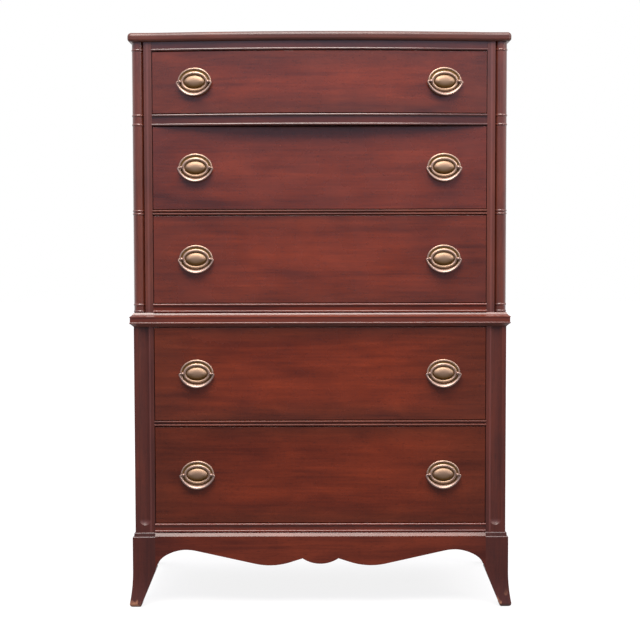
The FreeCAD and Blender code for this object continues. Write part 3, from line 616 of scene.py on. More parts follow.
@dataclass(frozen=True)
class AgedBrass:
    """Stamped or cast brass, brown in the hollows and where painted shade lies, and rubbed bright where it
    stands out.
    """

    name: str
    bright: Colour = (0.50, 0.345, 0.265)
    brown: Colour = (0.205, 0.118, 0.036)
    cloud: float = 0.35
    roughness: float = 0.43
    dulling: float = 0.25
    dent_strength: float = 0.06
    dent_height: float = 0.0004

    def material(self) -> Material:
        """Builds the finish. The piece's own attribute says how deep each point lies, and on the plate it
        also holds painted shade.

        Returns:
            The material.
        """
        material, canvas, shader = new_material(self.name)
        place = canvas.add("ShaderNodeTexCoord").outputs["Object"]
        # The attribute gives each point's depth, plus the plate's painted shade on down-facing slopes and its
        # lower half
        hollow = canvas.add("ShaderNodeAttribute", attribute_name=HOLLOW_AND_SHADE).outputs["Fac"]
        age = canvas.group(EFFECTS.tarnish, Vector=place, Hollow=hollow, Cloud=self.cloud)["Age"]
        dents = canvas.noise(place, 420.0, detail=3.0)
        inputs = {
            "Base Color": canvas.mix(age, self.bright, self.brown),
            "Roughness": canvas.math("MULTIPLY_ADD", age, self.dulling, self.roughness),
            "Metallic": 1.0,
            "Normal": canvas.bump(dents, self.dent_strength, self.dent_height),
        }
        canvas.fill(shader, inputs)
        return material


@dataclass(frozen=True)
class PlainSteel:
    """Zinc-grey fasteners with a trace of dullness."""

    name: str
    bright: Colour = (0.46, 0.45, 0.43)
    dull: Colour = (0.20, 0.18, 0.16)
    cloud: float = 0.8
    roughness: float = 0.32
    dulling: float = 0.3

    def material(self) -> Material:
        """Builds the finish.

        Returns:
            The material.
        """
        material, canvas, shader = new_material(self.name)
        place = canvas.add("ShaderNodeTexCoord").outputs["Object"]
        age = canvas.group(EFFECTS.tarnish, Vector=place, Hollow=0.0, Cloud=self.cloud)["Age"]
        inputs = {
            "Base Color": canvas.mix(age, self.bright, self.dull),
            "Roughness": canvas.math("MULTIPLY_ADD", age, self.dulling, self.roughness),
            "Metallic": 1.0,
        }
        canvas.fill(shader, inputs)
        return material


def dress(material: Material, *nodes: str) -> None:
    """Gives CAD nodes a finish.

    Args:
        material: The finish.
        nodes: The nodes' names.
    """
    for node in nodes:
        for slot in frame["nodes"][node].material_slots:
            slot.material = material
        log.info("%s dressed with %s", node, material.name)


# Mesh helpers


def new_object(name: str, data: bpy.types.ID) -> bpy.types.Object:
    """Links a new object to the scene.

    Args:
        name: The object's name.
        data: Its mesh, curve, lamp or camera.

    Returns:
        The object, at the origin.
    """
    piece = bpy.data.objects.new(name, data)
    bpy.context.scene.collection.objects.link(piece)
    return piece


def curve_object(name: str, points: list[Vector], weights: list[float]) -> bpy.types.Object:
    """Makes a curve of one open line from point to point.

    Args:
        name: The object's name.
        points: The line's points.
        weights: A radius for each point.

    Returns:
        The curve's object.
    """
    curve = bpy.data.curves.new(name, "CURVE")
    curve.dimensions = "3D"
    spline = curve.splines.new("POLY")
    spline.points.add(len(points) - 1)
    for target, point, weight in zip(spline.points, points, weights):
        target.co = (*point, 1.0)
        target.radius = weight
    return new_object(name, curve)


def arc_points(centre: Pair, radius: float, start: float, end: float, steps: int) -> list[Pair]:
    """Points along an arc in the XZ plane.

    Args:
        centre: The arc's centre.
        radius: Its radius.
        start: The angle where it begins.
        end: The angle where it ends.
        steps: How many steps it has.

    Returns:
        X and Z of each point, with both ends.
    """
    angles = [start + (end - start) * step / steps for step in range(steps + 1)]
    return [(centre[0] + radius * math.cos(a), centre[1] + radius * math.sin(a)) for a in angles]


def grown(piece: bpy.types.Object, tree: Tree, **inputs: object) -> Mesh:
    """Runs a geometry tree on an object and keeps the result as a plain mesh.

    Args:
        piece: The object, which is removed.
        tree: The geometry tree.
        inputs: The tree's inputs by name, with _ for each space.

    Returns:
        The finished mesh.
    """
    modifier = piece.modifiers.new(tree.name, "NODES")
    modifier.node_group = tree
    for item in tree.interface.items_tree:
        key = item.name.replace(" ", "_")
        if item.item_type == "SOCKET" and item.in_out == "INPUT" and key in inputs:
            modifier[item.identifier] = inputs[key]
    graph = bpy.context.evaluated_depsgraph_get()
    mesh = bpy.data.meshes.new_from_object(piece.evaluated_get(graph), depsgraph=graph)
    mesh.name = tree.name
    piece.modifiers.remove(modifier)
    bpy.data.objects.remove(piece)
    return mesh


def gathered(name: str, copies: Copies) -> bpy.types.Object:
    """Joins placed copies of meshes into one piece.

    Args:
        name: The piece's name.
        copies: Each mesh with its place.

    Returns:
        The piece, at the origin.
    """
    whole = bmesh.new()
    whole.verts.layers.float.new(HOLLOW_AND_SHADE)
    materials = []
    for mesh, place in copies:
        moved = mesh.copy()
        moved.transform(place)
        for material in moved.materials:
            if material not in materials:
                materials.append(material)
        indices = [materials.index(material) for material in moved.materials]
        known = len(whole.faces)
        whole.from_mesh(moved)
        whole.faces.ensure_lookup_table()
        for face in whole.faces[known:]:
            face.material_index = indices[face.material_index]
        bpy.data.meshes.remove(moved)
    return new_object(name, finished(name, whole, *materials))


def finished(name: str, shape: bmesh.types.BMesh, *materials: Material) -> Mesh:
    """Makes a mesh of an edited shape.

    Args:
        name: The mesh's name.
        shape: The shape, which is freed.
        materials: Its finishes.

    Returns:
        The mesh.
    """
    mesh = bpy.data.meshes.new(name)
    shape.to_mesh(mesh)
    shape.free()
    for material in materials:
        mesh.materials.append(material)
    return mesh


def facing_out(mesh: Mesh) -> Mesh:
    """Turns a closed mesh's faces outwards.

    Args:
        mesh: The mesh.

    Returns:
        The same mesh.
    """
    shape = bmesh.new()
    shape.from_mesh(mesh)
    bmesh.ops.recalc_face_normals(shape, faces=shape.faces)
    shape.to_mesh(mesh)
    shape.free()
    return mesh


def turned(profile: list[Pair], material: Material, steps: int = 32) -> Mesh:
    """Turns a profile about Z.

    Args:
        profile: Radius and height of each point, from the axis to the axis.
        material: The finish.
        steps: How many sides it has.

    Returns:
        The turned mesh, closed, smooth and facing outwards.
    """
    shape = bmesh.new()
    for radius, height in profile:
        shape.verts.new((radius, 0.0, height))
    shape.verts.ensure_lookup_table()
    edges = [shape.edges.new(pair) for pair in zip(shape.verts[:-1], shape.verts[1:])]
    geometry = [*shape.verts, *edges]
    full_turn = {"axis": (0, 0, 1), "cent": (0, 0, 0), "angle": math.tau, "steps": steps}
    bmesh.ops.spin(shape, geom=geometry, use_merge=True, **full_turn)
    bmesh.ops.remove_doubles(shape, verts=shape.verts, dist=MERGE_DISTANCE)
    bmesh.ops.recalc_face_normals(shape, faces=shape.faces)
    for face in shape.faces:
        face.smooth = True
    return finished("turned", shape, material)


# Oval pulls


@dataclass(frozen=True)
class Rounding:
    """A rounded form in a profile: half a turn makes a bead, and a quarter makes a dome.

    A point's hollow fades as it rises from the foot, but not below the least hollow.
    """

    start: float
    width: float
    foot: float
    top: float
    turn: float = math.pi
    steps: int = 18
    least_hollow: float = 0.0
    fade: float = 3.0

    def points(self) -> list[Triple]:
        """Draws the form, without its first point.

        Returns:
            Inset, height and hollow of each point.
        """
        points = []
        for step in range(1, self.steps + 1):
            angle = self.turn * step / self.steps
            inset = self.start + self.width * (1 - math.cos(angle)) / (1 - math.cos(self.turn))
            lift = math.sin(angle)
            hollow = max(self.least_hollow, 1 - self.fade * lift)
            points.append((inset, self.foot + (self.top - self.foot) * lift, hollow))
        return points


@dataclass
class OvalPull:
    """An oval stamped plate with two ball-headed posts and a hanging bail, drawn at the origin.

    The plate lies in the XZ plane and faces -Y. Lengths are in metres.
    """

    half_width: float = 0.0405
    half_height: float = 0.0335
    side_share: float = 0.85
    seat: float = 0.0001
    edge: float = 0.0012
    edge_hollow: float = 0.8
    rim_width: float = 0.0054
    rim_height: float = 0.0032
    rim_steps: int = 14
    floor_width: float = 0.0034
    ring_width: float = 0.0084
    ring_height: float = 0.0046
    groove_width: float = 0.0014
    dome_height: float = 0.0075
    dome_age: float = 0.45
    # Painted shade: how much browner the slopes that face down, and the lower half behind the bail, are made
    undercut: float = 0.6
    low_age: float = 0.45
    plate_steps: int = 96
    plate_sides: int = 112
    post_half_spacing: float = 0.0335
    pivot_height: float = 0.009
    ball_radius: float = 0.0038
    ball_steps: int = 12
    neck_radius: float = 0.0026
    neck_start: float = 0.82
    collar_share: float = 1.3
    collar_end: float = 0.7
    bolt_radius: float = 0.0020
    bolt_tail: float = 0.0063
    front_thickness: float = 0.020
    nut_half: float = 0.004
    nut_thickness: float = 0.004
    nut_seat: float = 0.0003
    nut_bevel: float = 0.0005
    pin_depth: float = 0.005
    pin_radius: float = 0.0015
    bend_x: float = 0.0387
    bend_radius: float = 0.0026
    bend_steps: int = 14
    bow_steps: int = 60
    bail_drop: float = 0.0300
    bail_end_radius: float = 0.0020
    grip_half_width: float = 0.0045
    grip_half_depth: float = 0.0042
    grip_lean: float = 0.7
    bail_steps: int = 128
    bail_sides: int = 24
    meshes: dict[str, Mesh] = field(default_factory=dict)

    def build(self, plate: Material, bail: Material, steel: Material) -> None:
        """Makes the meshes of one pull.

        Args:
            plate: The finish of the plate.
            bail: The finish of the bail and the posts.
            steel: The finish of the nuts.
        """
        self.meshes["plate"] = self.plate_mesh(plate)
        self.meshes["post"] = self.post_mesh(bail)
        self.meshes["nut"] = self.nut_mesh(steel)
        self.meshes["bail"] = self.bail_mesh(bail)

    def plate_profile(self) -> list[Triple]:
        """The plate's profile: an edge, a rim bead, a sunk floor, an inner ring, a groove and a dome.

        Returns:
            Inset from the outer edge, height and hollow of each point.
        """
        floor = self.edge
        ring = self.rim_width + self.floor_width
        dome = ring + self.ring_width + self.groove_width
        dome_width = self.half_height - dome
        rim_bead = Rounding(0.0, self.rim_width, floor, self.rim_height, steps=self.rim_steps)
        inner_ring = Rounding(ring, self.ring_width, floor, self.ring_height)
        middle = Rounding(dome, dome_width, floor, self.dome_height, QUARTER_TURN, least_hollow=self.dome_age)
        points = [(0.0, 0.0, 1.0), (0.0, floor, self.edge_hollow), *rim_bead.points()]
        points += [(ring, floor, 1.0), *inner_ring.points()]
        points += [(dome, floor, 1.0), *middle.points()]
        return points

    def plate_tree(self, material: Material) -> Tree:
        """The rule of the plate: every contour is the outer oval drawn in by the profile's inset.

        The inset is less at the sides. Slopes that face down get painted shade, and so does the lower half
        that the bail hangs over.

        Args:
            material: The plate's finish.

        Returns:
            A geometry tree that takes the profile as a curve.
        """
        names = ("Half Width", "Half Height", "Side Share", "Undercut", "Low Age")
        inputs = {"Geometry": "Geometry", **dict.fromkeys(names, "Float"), "Sides": "Int", "Steps": "Int"}
        outputs = {"Geometry": "Geometry"}
        canvas, inside, outside = new_group("oval_plate", TreeKind.GEOMETRY, inputs, outputs)
        half_width, half_height = inside["Half Width"], inside["Half Height"]
        counts = {"Vertices X": inside["Sides"], "Vertices Y": inside["Steps"]}
        grid = canvas.add("GeometryNodeMeshGrid", {"Size X": 1.0, "Size Y": 1.0, **counts})
        across, along, _ = canvas.parts(grid.outputs["UV Map"])
        radius = canvas.add("GeometryNodeInputRadius").outputs[0]
        sampled = {"Curves": inside["Geometry"], "Value": radius, "Factor": along}
        profile = canvas.add("GeometryNodeSampleCurve", sampled, mode="FACTOR", use_all_curves=True)
        inset, _, height = canvas.parts(profile.outputs["Position"])
        angle = canvas.math("MULTIPLY", across, math.tau)
        wide = canvas.math("SUBTRACT", half_width, canvas.math("MULTIPLY", inset, inside["Side Share"]))
        tall = canvas.math("SUBTRACT", half_height, inset)
        upward = canvas.math("MULTIPLY", tall, canvas.math("SINE", angle))
        oval = canvas.joined(
            x=canvas.math("MULTIPLY", wide, canvas.math("COSINE", angle)),
            y=canvas.math("MULTIPLY", height, -1.0),
            z=upward,
        )
        shape = canvas.stored(grid.outputs["Mesh"], HOLLOW_AND_SHADE, profile.outputs["Value"])
        shape = canvas.moved(shape, Position=oval)
        # Painted shade: slopes that face down, and the lower half where the bail hangs, turn browner
        _, facing, rise = canvas.parts(canvas.add("GeometryNodeInputNormal").outputs[0])
        down = canvas.math("MULTIPLY", rise, canvas.math("SIGN", facing))
        under = canvas.math("MULTIPLY", canvas.ramp(down, low=0.0, high=0.6), inside["Undercut"])
        depth = canvas.math("DIVIDE", upward, half_height)
        below = canvas.ramp(depth, low=-0.5, high=-0.3, to_low=1.0, to_high=0.0)
        painted_shade = canvas.math("MAXIMUM", under, canvas.math("MULTIPLY", below, inside["Low Age"]))
        shape = canvas.stored(shape, HOLLOW_AND_SHADE, canvas.math("ADD", canvas.recalled(HOLLOW_AND_SHADE), painted_shade, clamp=True))
        sides = canvas.math("SUBTRACT", inside["Sides"], 1.0)
        back = canvas.add("GeometryNodeMeshCircle", {"Vertices": sides, "Radius": 1.0}, fill_type="NGON")
        x, y, _ = canvas.parts(canvas.add("GeometryNodeInputPosition").outputs[0])
        flat = canvas.joined(
            x=canvas.math("MULTIPLY", x, half_width),
            z=canvas.math("MULTIPLY", y, half_height),
        )
        both = canvas.add("GeometryNodeJoinGeometry")
        canvas.feed(both.inputs[0], shape)
        canvas.feed(both.inputs[0], canvas.moved(back.outputs["Mesh"], Position=flat))
        canvas.end(both.outputs[0], outside["Geometry"], material)
        return canvas.tree

    def plate_mesh(self, material: Material) -> Mesh:
        """The stamped plate.

        Args:
            material: Its finish.

        Returns:
            The plate's mesh.
        """
        profile = self.plate_profile()
        points = [Vector((inset, 0.0, height + self.seat)) for inset, height, _ in profile]
        points[0].z = 0.0
        guide = curve_object("plate_profile", points, [hollow for *_, hollow in profile])
        sizes = {"Half_Width": self.half_width, "Half_Height": self.half_height}
        sizes |= {"Side_Share": self.side_share, "Undercut": self.undercut, "Low_Age": self.low_age}
        sizes |= {"Sides": self.plate_sides + 1, "Steps": self.plate_steps}
        return facing_out(grown(guide, self.plate_tree(material), **sizes))

    def post_mesh(self, material: Material) -> Mesh:
        """A post: a bolt through the drawer front, a collared neck and a ball head.

        Args:
            material: Its finish.

        Returns:
            The post's mesh, with its axis along -Y and the drawer's face at y = 0.
        """
        collar = self.neck_radius * self.collar_share
        tail = -(self.front_thickness + self.bolt_tail)
        foot = self.pivot_height - math.sqrt(self.ball_radius**2 - self.neck_radius**2)
        profile = [(0.0, tail), (self.bolt_radius, tail), (self.bolt_radius, 0.0)]
        profile += [(collar, 0.0), (collar, foot * self.collar_end)]
        profile += [(self.neck_radius, foot * self.neck_start)]
        start = math.asin((foot - self.pivot_height) / self.ball_radius)
        ball = arc_points((0.0, self.pivot_height), self.ball_radius, start, QUARTER_TURN, self.ball_steps)
        mesh = turned([*profile, *ball], material)
        mesh.transform(Matrix.Rotation(QUARTER_TURN, 4, "X"))
        return mesh

    def nut_mesh(self, material: Material) -> Mesh:
        """A square nut with broken corners, behind the drawer front.

        Args:
            material: Its finish.

        Returns:
            The nut's mesh.
        """
        shape = bmesh.new()
        bmesh.ops.create_cube(shape, size=2.0)
        half_size = (self.nut_half, self.nut_thickness / 2, self.nut_half)
        bmesh.ops.scale(shape, vec=half_size, verts=shape.verts)
        middle = self.front_thickness + self.nut_seat + self.nut_thickness / 2
        bmesh.ops.translate(shape, vec=(0.0, middle, 0.0), verts=shape.verts)
        bmesh.ops.bevel(shape, geom=shape.edges, offset=self.nut_bevel, segments=2, affect="EDGES")
        return finished("nut", shape, material)

    def bail_path(self) -> tuple[list[Vector], float]:
        """The bail's line: a pin into each ball, a tight bend and one long bow between the bends.

        Returns:
            The line's points from right to left, and the share of its length where the bow begins.
        """
        free = self.bail_drop - self.bend_radius
        lift = (self.bend_x**2 + self.bend_radius**2 - free**2) / (2 * (free - self.bend_radius))
        slope = math.atan2(lift + self.bend_radius, self.bend_x)
        bow = lift + self.bail_drop
        pin = self.post_half_spacing + self.ball_radius - self.pin_depth
        bend = (self.bend_x, -self.bend_radius)
        right = [(pin, 0.0), *arc_points(bend, self.bend_radius, QUARTER_TURN, -slope, self.bend_steps)]
        across = arc_points((0.0, lift), bow, -slope, slope - math.pi, self.bow_steps)
        line = right + across[1:-1] + [(-x, z) for x, z in reversed(right)]
        bow_length = bow * (math.pi - 2 * slope)
        end_length = self.bend_x - pin + self.bend_radius * (QUARTER_TURN + slope)
        shoulder = end_length / (bow_length + 2 * end_length)
        return [Vector((x, -self.pivot_height, z)) for x, z in line], shoulder

    def bail_tree(self, material: Material) -> Tree:
        """The rule of the bail: a bar along its line that broadens, flattens and leans back to its grip.

        Args:
            material: The bail's finish.

        Returns:
            A geometry tree that takes the line as a curve.
        """
        names = ("Pin Radius", "End Radius", "Half Width", "Half Depth", "Lean", "Shoulder", "Pivot Height")
        inputs = {"Geometry": "Geometry", **dict.fromkeys(names, "Float"), "Steps": "Int", "Sides": "Int"}
        outputs = {"Geometry": "Geometry"}
        canvas, inside, outside = new_group("swelled_bail", TreeKind.GEOMETRY, inputs, outputs)
        shoulder, end_radius = inside["Shoulder"], inside["End Radius"]
        sampled = {"Curve": inside["Geometry"], "Count": inside["Steps"]}
        line = canvas.add("GeometryNodeResampleCurve", sampled).outputs["Curve"]
        along = canvas.add("GeometryNodeSplineParameter").outputs["Factor"]
        from_end = canvas.math("MINIMUM", along, canvas.math("SUBTRACT", 1.0, along))
        bend = canvas.ramp(from_end, canvas.math("MULTIPLY", shoulder, 0.5), shoulder)
        growth = canvas.math("SUBTRACT", end_radius, inside["Pin Radius"])
        stem = canvas.math("MULTIPLY_ADD", bend, growth, inside["Pin Radius"])
        past = canvas.math("SUBTRACT", from_end, shoulder)
        share = canvas.math("DIVIDE", past, canvas.math("SUBTRACT", 0.5, shoulder), clamp=True)
        swell = canvas.math("SINE", canvas.math("MULTIPLY", share, QUARTER_TURN))
        width, depth = (
            canvas.math("MULTIPLY_ADD", swell, canvas.math("SUBTRACT", inside[name], end_radius), stem)
            for name in ("Half Width", "Half Depth")
        )
        _, out, up = canvas.parts(canvas.add("GeometryNodeInputPosition").outputs[0])
        section = canvas.joined(
            x=canvas.math("DIVIDE", depth, width),
            y=canvas.math("MULTIPLY", swell, inside["Lean"]),
            z=up,
        )
        line = canvas.stored(line, SECTION, section, "FLOAT_VECTOR")
        circle = {"Resolution": inside["Sides"], "Radius": 1.0}
        ring = canvas.add("GeometryNodeCurvePrimitiveCircle", circle).outputs["Curve"]
        swept = {"Curve": line, "Profile Curve": ring, "Scale": width, "Fill Caps": True}
        bar = canvas.add("GeometryNodeCurveToMesh", swept).outputs["Mesh"]
        flatness, lean, line_height = canvas.parts(canvas.recalled(SECTION, "FLOAT_VECTOR"))
        off_plane = canvas.math("ADD", out, inside["Pivot Height"])
        squeeze = canvas.math("MULTIPLY", off_plane, canvas.math("SUBTRACT", flatness, 1.0))
        above_line = canvas.math("SUBTRACT", up, line_height)
        shift = canvas.joined(y=canvas.math("MULTIPLY_ADD", above_line, lean, squeeze))
        canvas.end(canvas.moved(bar, Offset=shift), outside["Geometry"], material)
        return canvas.tree

    def bail_mesh(self, material: Material) -> Mesh:
        """The hanging bail.

        Args:
            material: Its finish.

        Returns:
            The bail's mesh.
        """
        points, shoulder = self.bail_path()
        guide = curve_object("bail_line", points, [1.0] * len(points))
        sizes = {"Pin_Radius": self.pin_radius, "End_Radius": self.bail_end_radius, "Shoulder": shoulder}
        sizes |= {"Half_Width": self.grip_half_width, "Half_Depth": self.grip_half_depth}
        sizes |= {"Lean": self.grip_lean, "Pivot_Height": self.pivot_height}
        sizes |= {"Steps": self.bail_steps, "Sides": self.bail_sides}
        return facing_out(grown(guide, self.bail_tree(material), **sizes))

    def fixed_copies(self, place: Matrix) -> Copies:
        """The pieces of one pull that stay on the drawer.

        Args:
            place: Where the pull's middle lies.

        Returns:
            Each mesh with its place.
        """
        copies = [(self.meshes["plate"], place)]
        for hand in Hand:
            aside = place @ Matrix.Translation((hand.value * self.post_half_spacing, 0.0, 0.0))
            copies += [(self.meshes["post"], aside), (self.meshes["nut"], aside)]
        return copies


# The case and the drawers


@dataclass
class Carcase:
    """The case: top, posts, rails, mouldings, panels, feet and what lies inside."""

    above_waist: Panel = Panel((0.0, 0.0, 1.05), (10.0, 1.0, 0.36), (1.0, 1.0, 0.06))
    between_feet: Panel = Panel((0.0, 0.0, 0.13), (0.42, 1.0, 10.0), (0.16, 1.0, 1.0))
    waist_height: float = 0.70
    apron_bevel_height: float = 0.1722
    foot_cap_height: float = 0.1686
    post_arris: float = 0.4105
    toe_scuffs: float = 0.05
    worn_toe: Triple = (-0.450, -0.228, 0.002)
    nail_spacing: float = 0.085
    nail_inset: float = 0.0045
    nail_radius: float = 0.0016
    nail_flatness: float = 0.4
    nail_sides: int = 10
    nail_rings: int = 6

    def cross_grained(self) -> dict[Lacquer, tuple[str, ...]]:
        """The finishes of the pieces whose grain runs across the chest.

        Returns:
            The nodes that each finish goes on.
        """
        along = Grain.ALONG_X
        top = Lacquer(
            "mahogany_top", along, tint=(0.47, 0.70, 1.0), roughness=0.40, gloss=0.7, shift=(0.3, 0.1, 0.7)
        )
        rails = Lacquer(
            "mahogany_rails", along, tint=(0.42, 0.52, 0.85), roughness=0.34, gloss=0.4, coat=1.0,
            shift=(1.1, 0.4, 0.0),
        )
        low_rails = Lacquer(
            "mahogany_low_rails", along, tint=(0.72, 0.74, 0.9), roughness=0.36, gloss=0.25, coat=0.6,
            shift=(0.7, 0.4, 0.0),
        )
        reeded_rails = Lacquer(
            "mahogany_reeded_rails", along, tint=(0.60, 0.80, 1.0), roughness=0.50, gloss=0.4,
            shift=(0.2, 0.4, 0.0),
        )
        waist = Lacquer(
            "mahogany_waist", along, tint=(0.68, 0.78, 0.95), roughness=0.38, gloss=0.45, coat=0.5,
            shift=(1.7, 0.4, 0.0),
        )
        apron = Lacquer(
            "mahogany_apron", along, edge=(0.62, 0.70, 1.0), tint=(0.72, 0.82, 1.0), roughness=0.42,
            gloss=0.3, coat=0.28, coat_above=self.apron_bevel_height, panel=self.between_feet,
            shift=(0.9, 0.2, 0.4),
        )
        return {
            top: ("top_board",),
            rails: ("top_rail", "upper_rail"),
            low_rails: ("waist_rail", "base_rail"),
            reeded_rails: ("middle_rail", "lower_rail"),
            waist: ("waist_moulding",),
            apron: ("front_apron",),
        }

    def upright_grained(self) -> dict[Lacquer, tuple[str, ...]]:
        """The finishes of the pieces whose grain runs up.

        Returns:
            The nodes that each finish goes on.
        """
        along = Grain.ALONG_Z
        # The posts carry a painted highlight along an upright arris of each post
        posts = Lacquer(
            "mahogany_posts", along, edge=(0.66, 0.62, 0.8), tint=(0.68, 0.90, 1.1), roughness=0.46,
            gloss=0.5, coat=0.8, coat_above=self.waist_height, arris=self.post_arris,
            panel=self.above_waist, shift=(0.2, 2.3, 0.5),
        )
        # Painted shade: the feet are tinted darker for the light that falls off low down by the floor
        feet = Lacquer(
            "mahogany_feet", along, tint=(0.34, 0.46, 0.9), roughness=0.42, gloss=0.45, coat=0.7,
            coat_above=self.foot_cap_height, scuff_height=self.toe_scuffs, worn_tip=self.worn_toe,
        )
        sides = Lacquer("mahogany_sides", along, contrast=2.6, shift=(0.6, 0.2, 1.3))
        return {
            posts: ("left_post", "right_post", "left_column", "right_column"),
            feet: ("front_feet", "back_feet"),
            sides: ("left_side_panel", "right_side_panel"),
        }

    def dress(self, bare: Material, ply: Material, steel: Material) -> None:
        """Gives every piece of the case its finish.

        Args:
            bare: The finish of frames and guides.
            ply: The finish of thin panels.
            steel: The finish of screws.
        """
        for finish, nodes in (self.cross_grained() | self.upright_grained()).items():
            dress(finish.material(), *nodes)
        dress(Lacquer("mahogany_side_aprons", Grain.ALONG_Y).material(), "side_aprons")
        dress(bare, "web_frames", "drawer_guides", "glue_blocks")
        dress(ply, "dust_panels", "back_panel")
        dress(steel, "top_screws")

    def nail_tree(self, material: Material) -> Tree:
        """The rule of the back's nails: low round heads at even steps along a rectangle.

        Args:
            material: The nails' finish.

        Returns:
            A geometry tree.
        """
        names = ("Width", "Height", "Spacing", "Head Radius")
        inputs, outputs = dict.fromkeys(names, "Float"), {"Geometry": "Geometry"}
        canvas, inside, outside = new_group("back_nails", TreeKind.GEOMETRY, inputs, outputs)
        size = {"Width": inside["Width"], "Height": inside["Height"]}
        border = canvas.add("GeometryNodeCurvePrimitiveQuadrilateral", size).outputs["Curve"]
        steps = {"Curve": border, "Length": inside["Spacing"]}
        points = canvas.add("GeometryNodeCurveToPoints", steps, mode="LENGTH").outputs["Points"]
        ball = {"Segments": self.nail_sides, "Rings": self.nail_rings, "Radius": inside["Head Radius"]}
        head = canvas.add("GeometryNodeMeshUVSphere", ball).outputs["Mesh"]
        placed = {"Points": points, "Instance": head, "Scale": (1.0, 1.0, self.nail_flatness)}
        nails = canvas.add("GeometryNodeInstanceOnPoints", placed).outputs["Instances"]
        canvas.end(nails, outside["Geometry"], material)
        return canvas.tree

    def build_nails(self, steel: Material) -> None:
        """Nails the back panel to the case, all round.

        Args:
            steel: The nails' finish.
        """
        low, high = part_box("back_panel")
        guide = new_object("nail_guide", bpy.data.meshes.new("nail_guide"))
        width, height = (span - 2 * self.nail_inset for span in (high.x - low.x, high.z - low.z))
        sizes = {"Width": width, "Height": height}
        sizes |= {"Spacing": self.nail_spacing, "Head_Radius": self.nail_radius}
        mesh = grown(guide, self.nail_tree(steel), **sizes)
        sunk = high.y - self.nail_flatness * self.nail_radius
        middle = Matrix.Translation((0.0, sunk, (low.z + high.z) / 2))
        mesh.transform(middle @ Matrix.Rotation(QUARTER_TURN, 4, "X"))
        nails = gathered("back_nails", [(mesh, Matrix.Identity(4))])
        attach(nails, "case")
        log.info("back_nails built: %d faces", len(nails.data.polygons))


@dataclass(frozen=True)
class FrontLook:
    """How one drawer front differs from the others: its gloss, its tone and the red of its toned edges."""

    gloss: float
    tone: float
    edge_red: float


@dataclass
class Drawer:
    """One drawer: its lacquered front, bare box and two oval pulls."""

    number: int
    look: FrontLook
    pull: OvalPull
    edge_green: float = 0.84
    toned_reach: Triple = (0.24, 1.0, 0.06)
    board_step: Triple = (0.37, 0.11, 1.9)

    def front_finish(self) -> Lacquer:
        """The front's finish, toned towards the edges of its own face.

        Returns:
            The finish, with its figure cut from another part of the board for each drawer.
        """
        low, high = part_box(f"drawer_{self.number}_front")
        half = (high - low) / 2
        tone = self.look.tone
        return Lacquer(
            f"mahogany_front_{self.number}",
            Grain.ALONG_X,
            edge=(self.look.edge_red, self.edge_green, 1.0),
            tint=(tone, tone, tone),
            gloss=self.look.gloss,
            panel=Panel(tuple((low + high) / 2), (half.x, 1.0, half.z), self.toned_reach),
            shift=tuple(step * self.number for step in self.board_step),
        )

    def dress(self, bare: Material, cross: Material, ply: Material) -> None:
        """Gives the wooden pieces their finishes.

        Args:
            bare: The finish of the sides, whose grain runs back.
            cross: The finish of the back, whose grain runs across.
            ply: The finish of the bottom.
        """
        name = f"drawer_{self.number}"
        dress(self.front_finish().material(), f"{name}_front")
        dress(bare, f"{name}_sides")
        dress(cross, f"{name}_back")
        dress(ply, f"{name}_bottom")

    def pull_place(self, hand: Hand) -> Matrix:
        """Where a pull's middle lies on the drawer's face, from its bail's hinge.

        Args:
            hand: The side of the drawer.

        Returns:
            The place, turned to stand square on the face.
        """
        name = f"bail_{self.number}_{hand.name.lower()}_swing"
        joint = next(joint for joint in frame["joints"] if joint["name"] == name)
        across = -Vector(joint["axis"]).normalized()
        out = Vector((across.y, -across.x, 0.0))
        turn = Matrix((across, -out, (0.0, 0.0, 1.0))).transposed().to_4x4()
        return Matrix.Translation(Vector(joint["pos_m"]) - out * self.pull.pivot_height) @ turn

    def build(self) -> None:
        """Hangs the drawer's two pulls."""
        name = f"drawer_{self.number}"
        places = {hand: self.pull_place(hand) for hand in Hand}
        copies = [copy for place in places.values() for copy in self.pull.fixed_copies(place)]
        fixed = gathered(f"{name}_oval_pulls", copies)
        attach(fixed, name)
        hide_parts(f"{name}_pulls")
        for hand, place in places.items():
            side = hand.name.lower()
            bail = gathered(f"{name}_{side}_hanging_bail", [(self.pull.meshes["bail"], place)])
            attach(bail, f"bail_{self.number}_{side}")
            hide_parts(f"{name}_{side}_bail")
        log.info("%s: two oval pulls hung", name)


# Studio


@dataclass(frozen=True)
class Lamp:
    """A square lamp that faces its target."""

    name: str
    turn: float
    elevation: float
    distance: float
    size: float
    power: float
    colour: Colour = (1.0, 0.95, 0.88)
    target: Triple = (0.0, -0.224, 1.0)


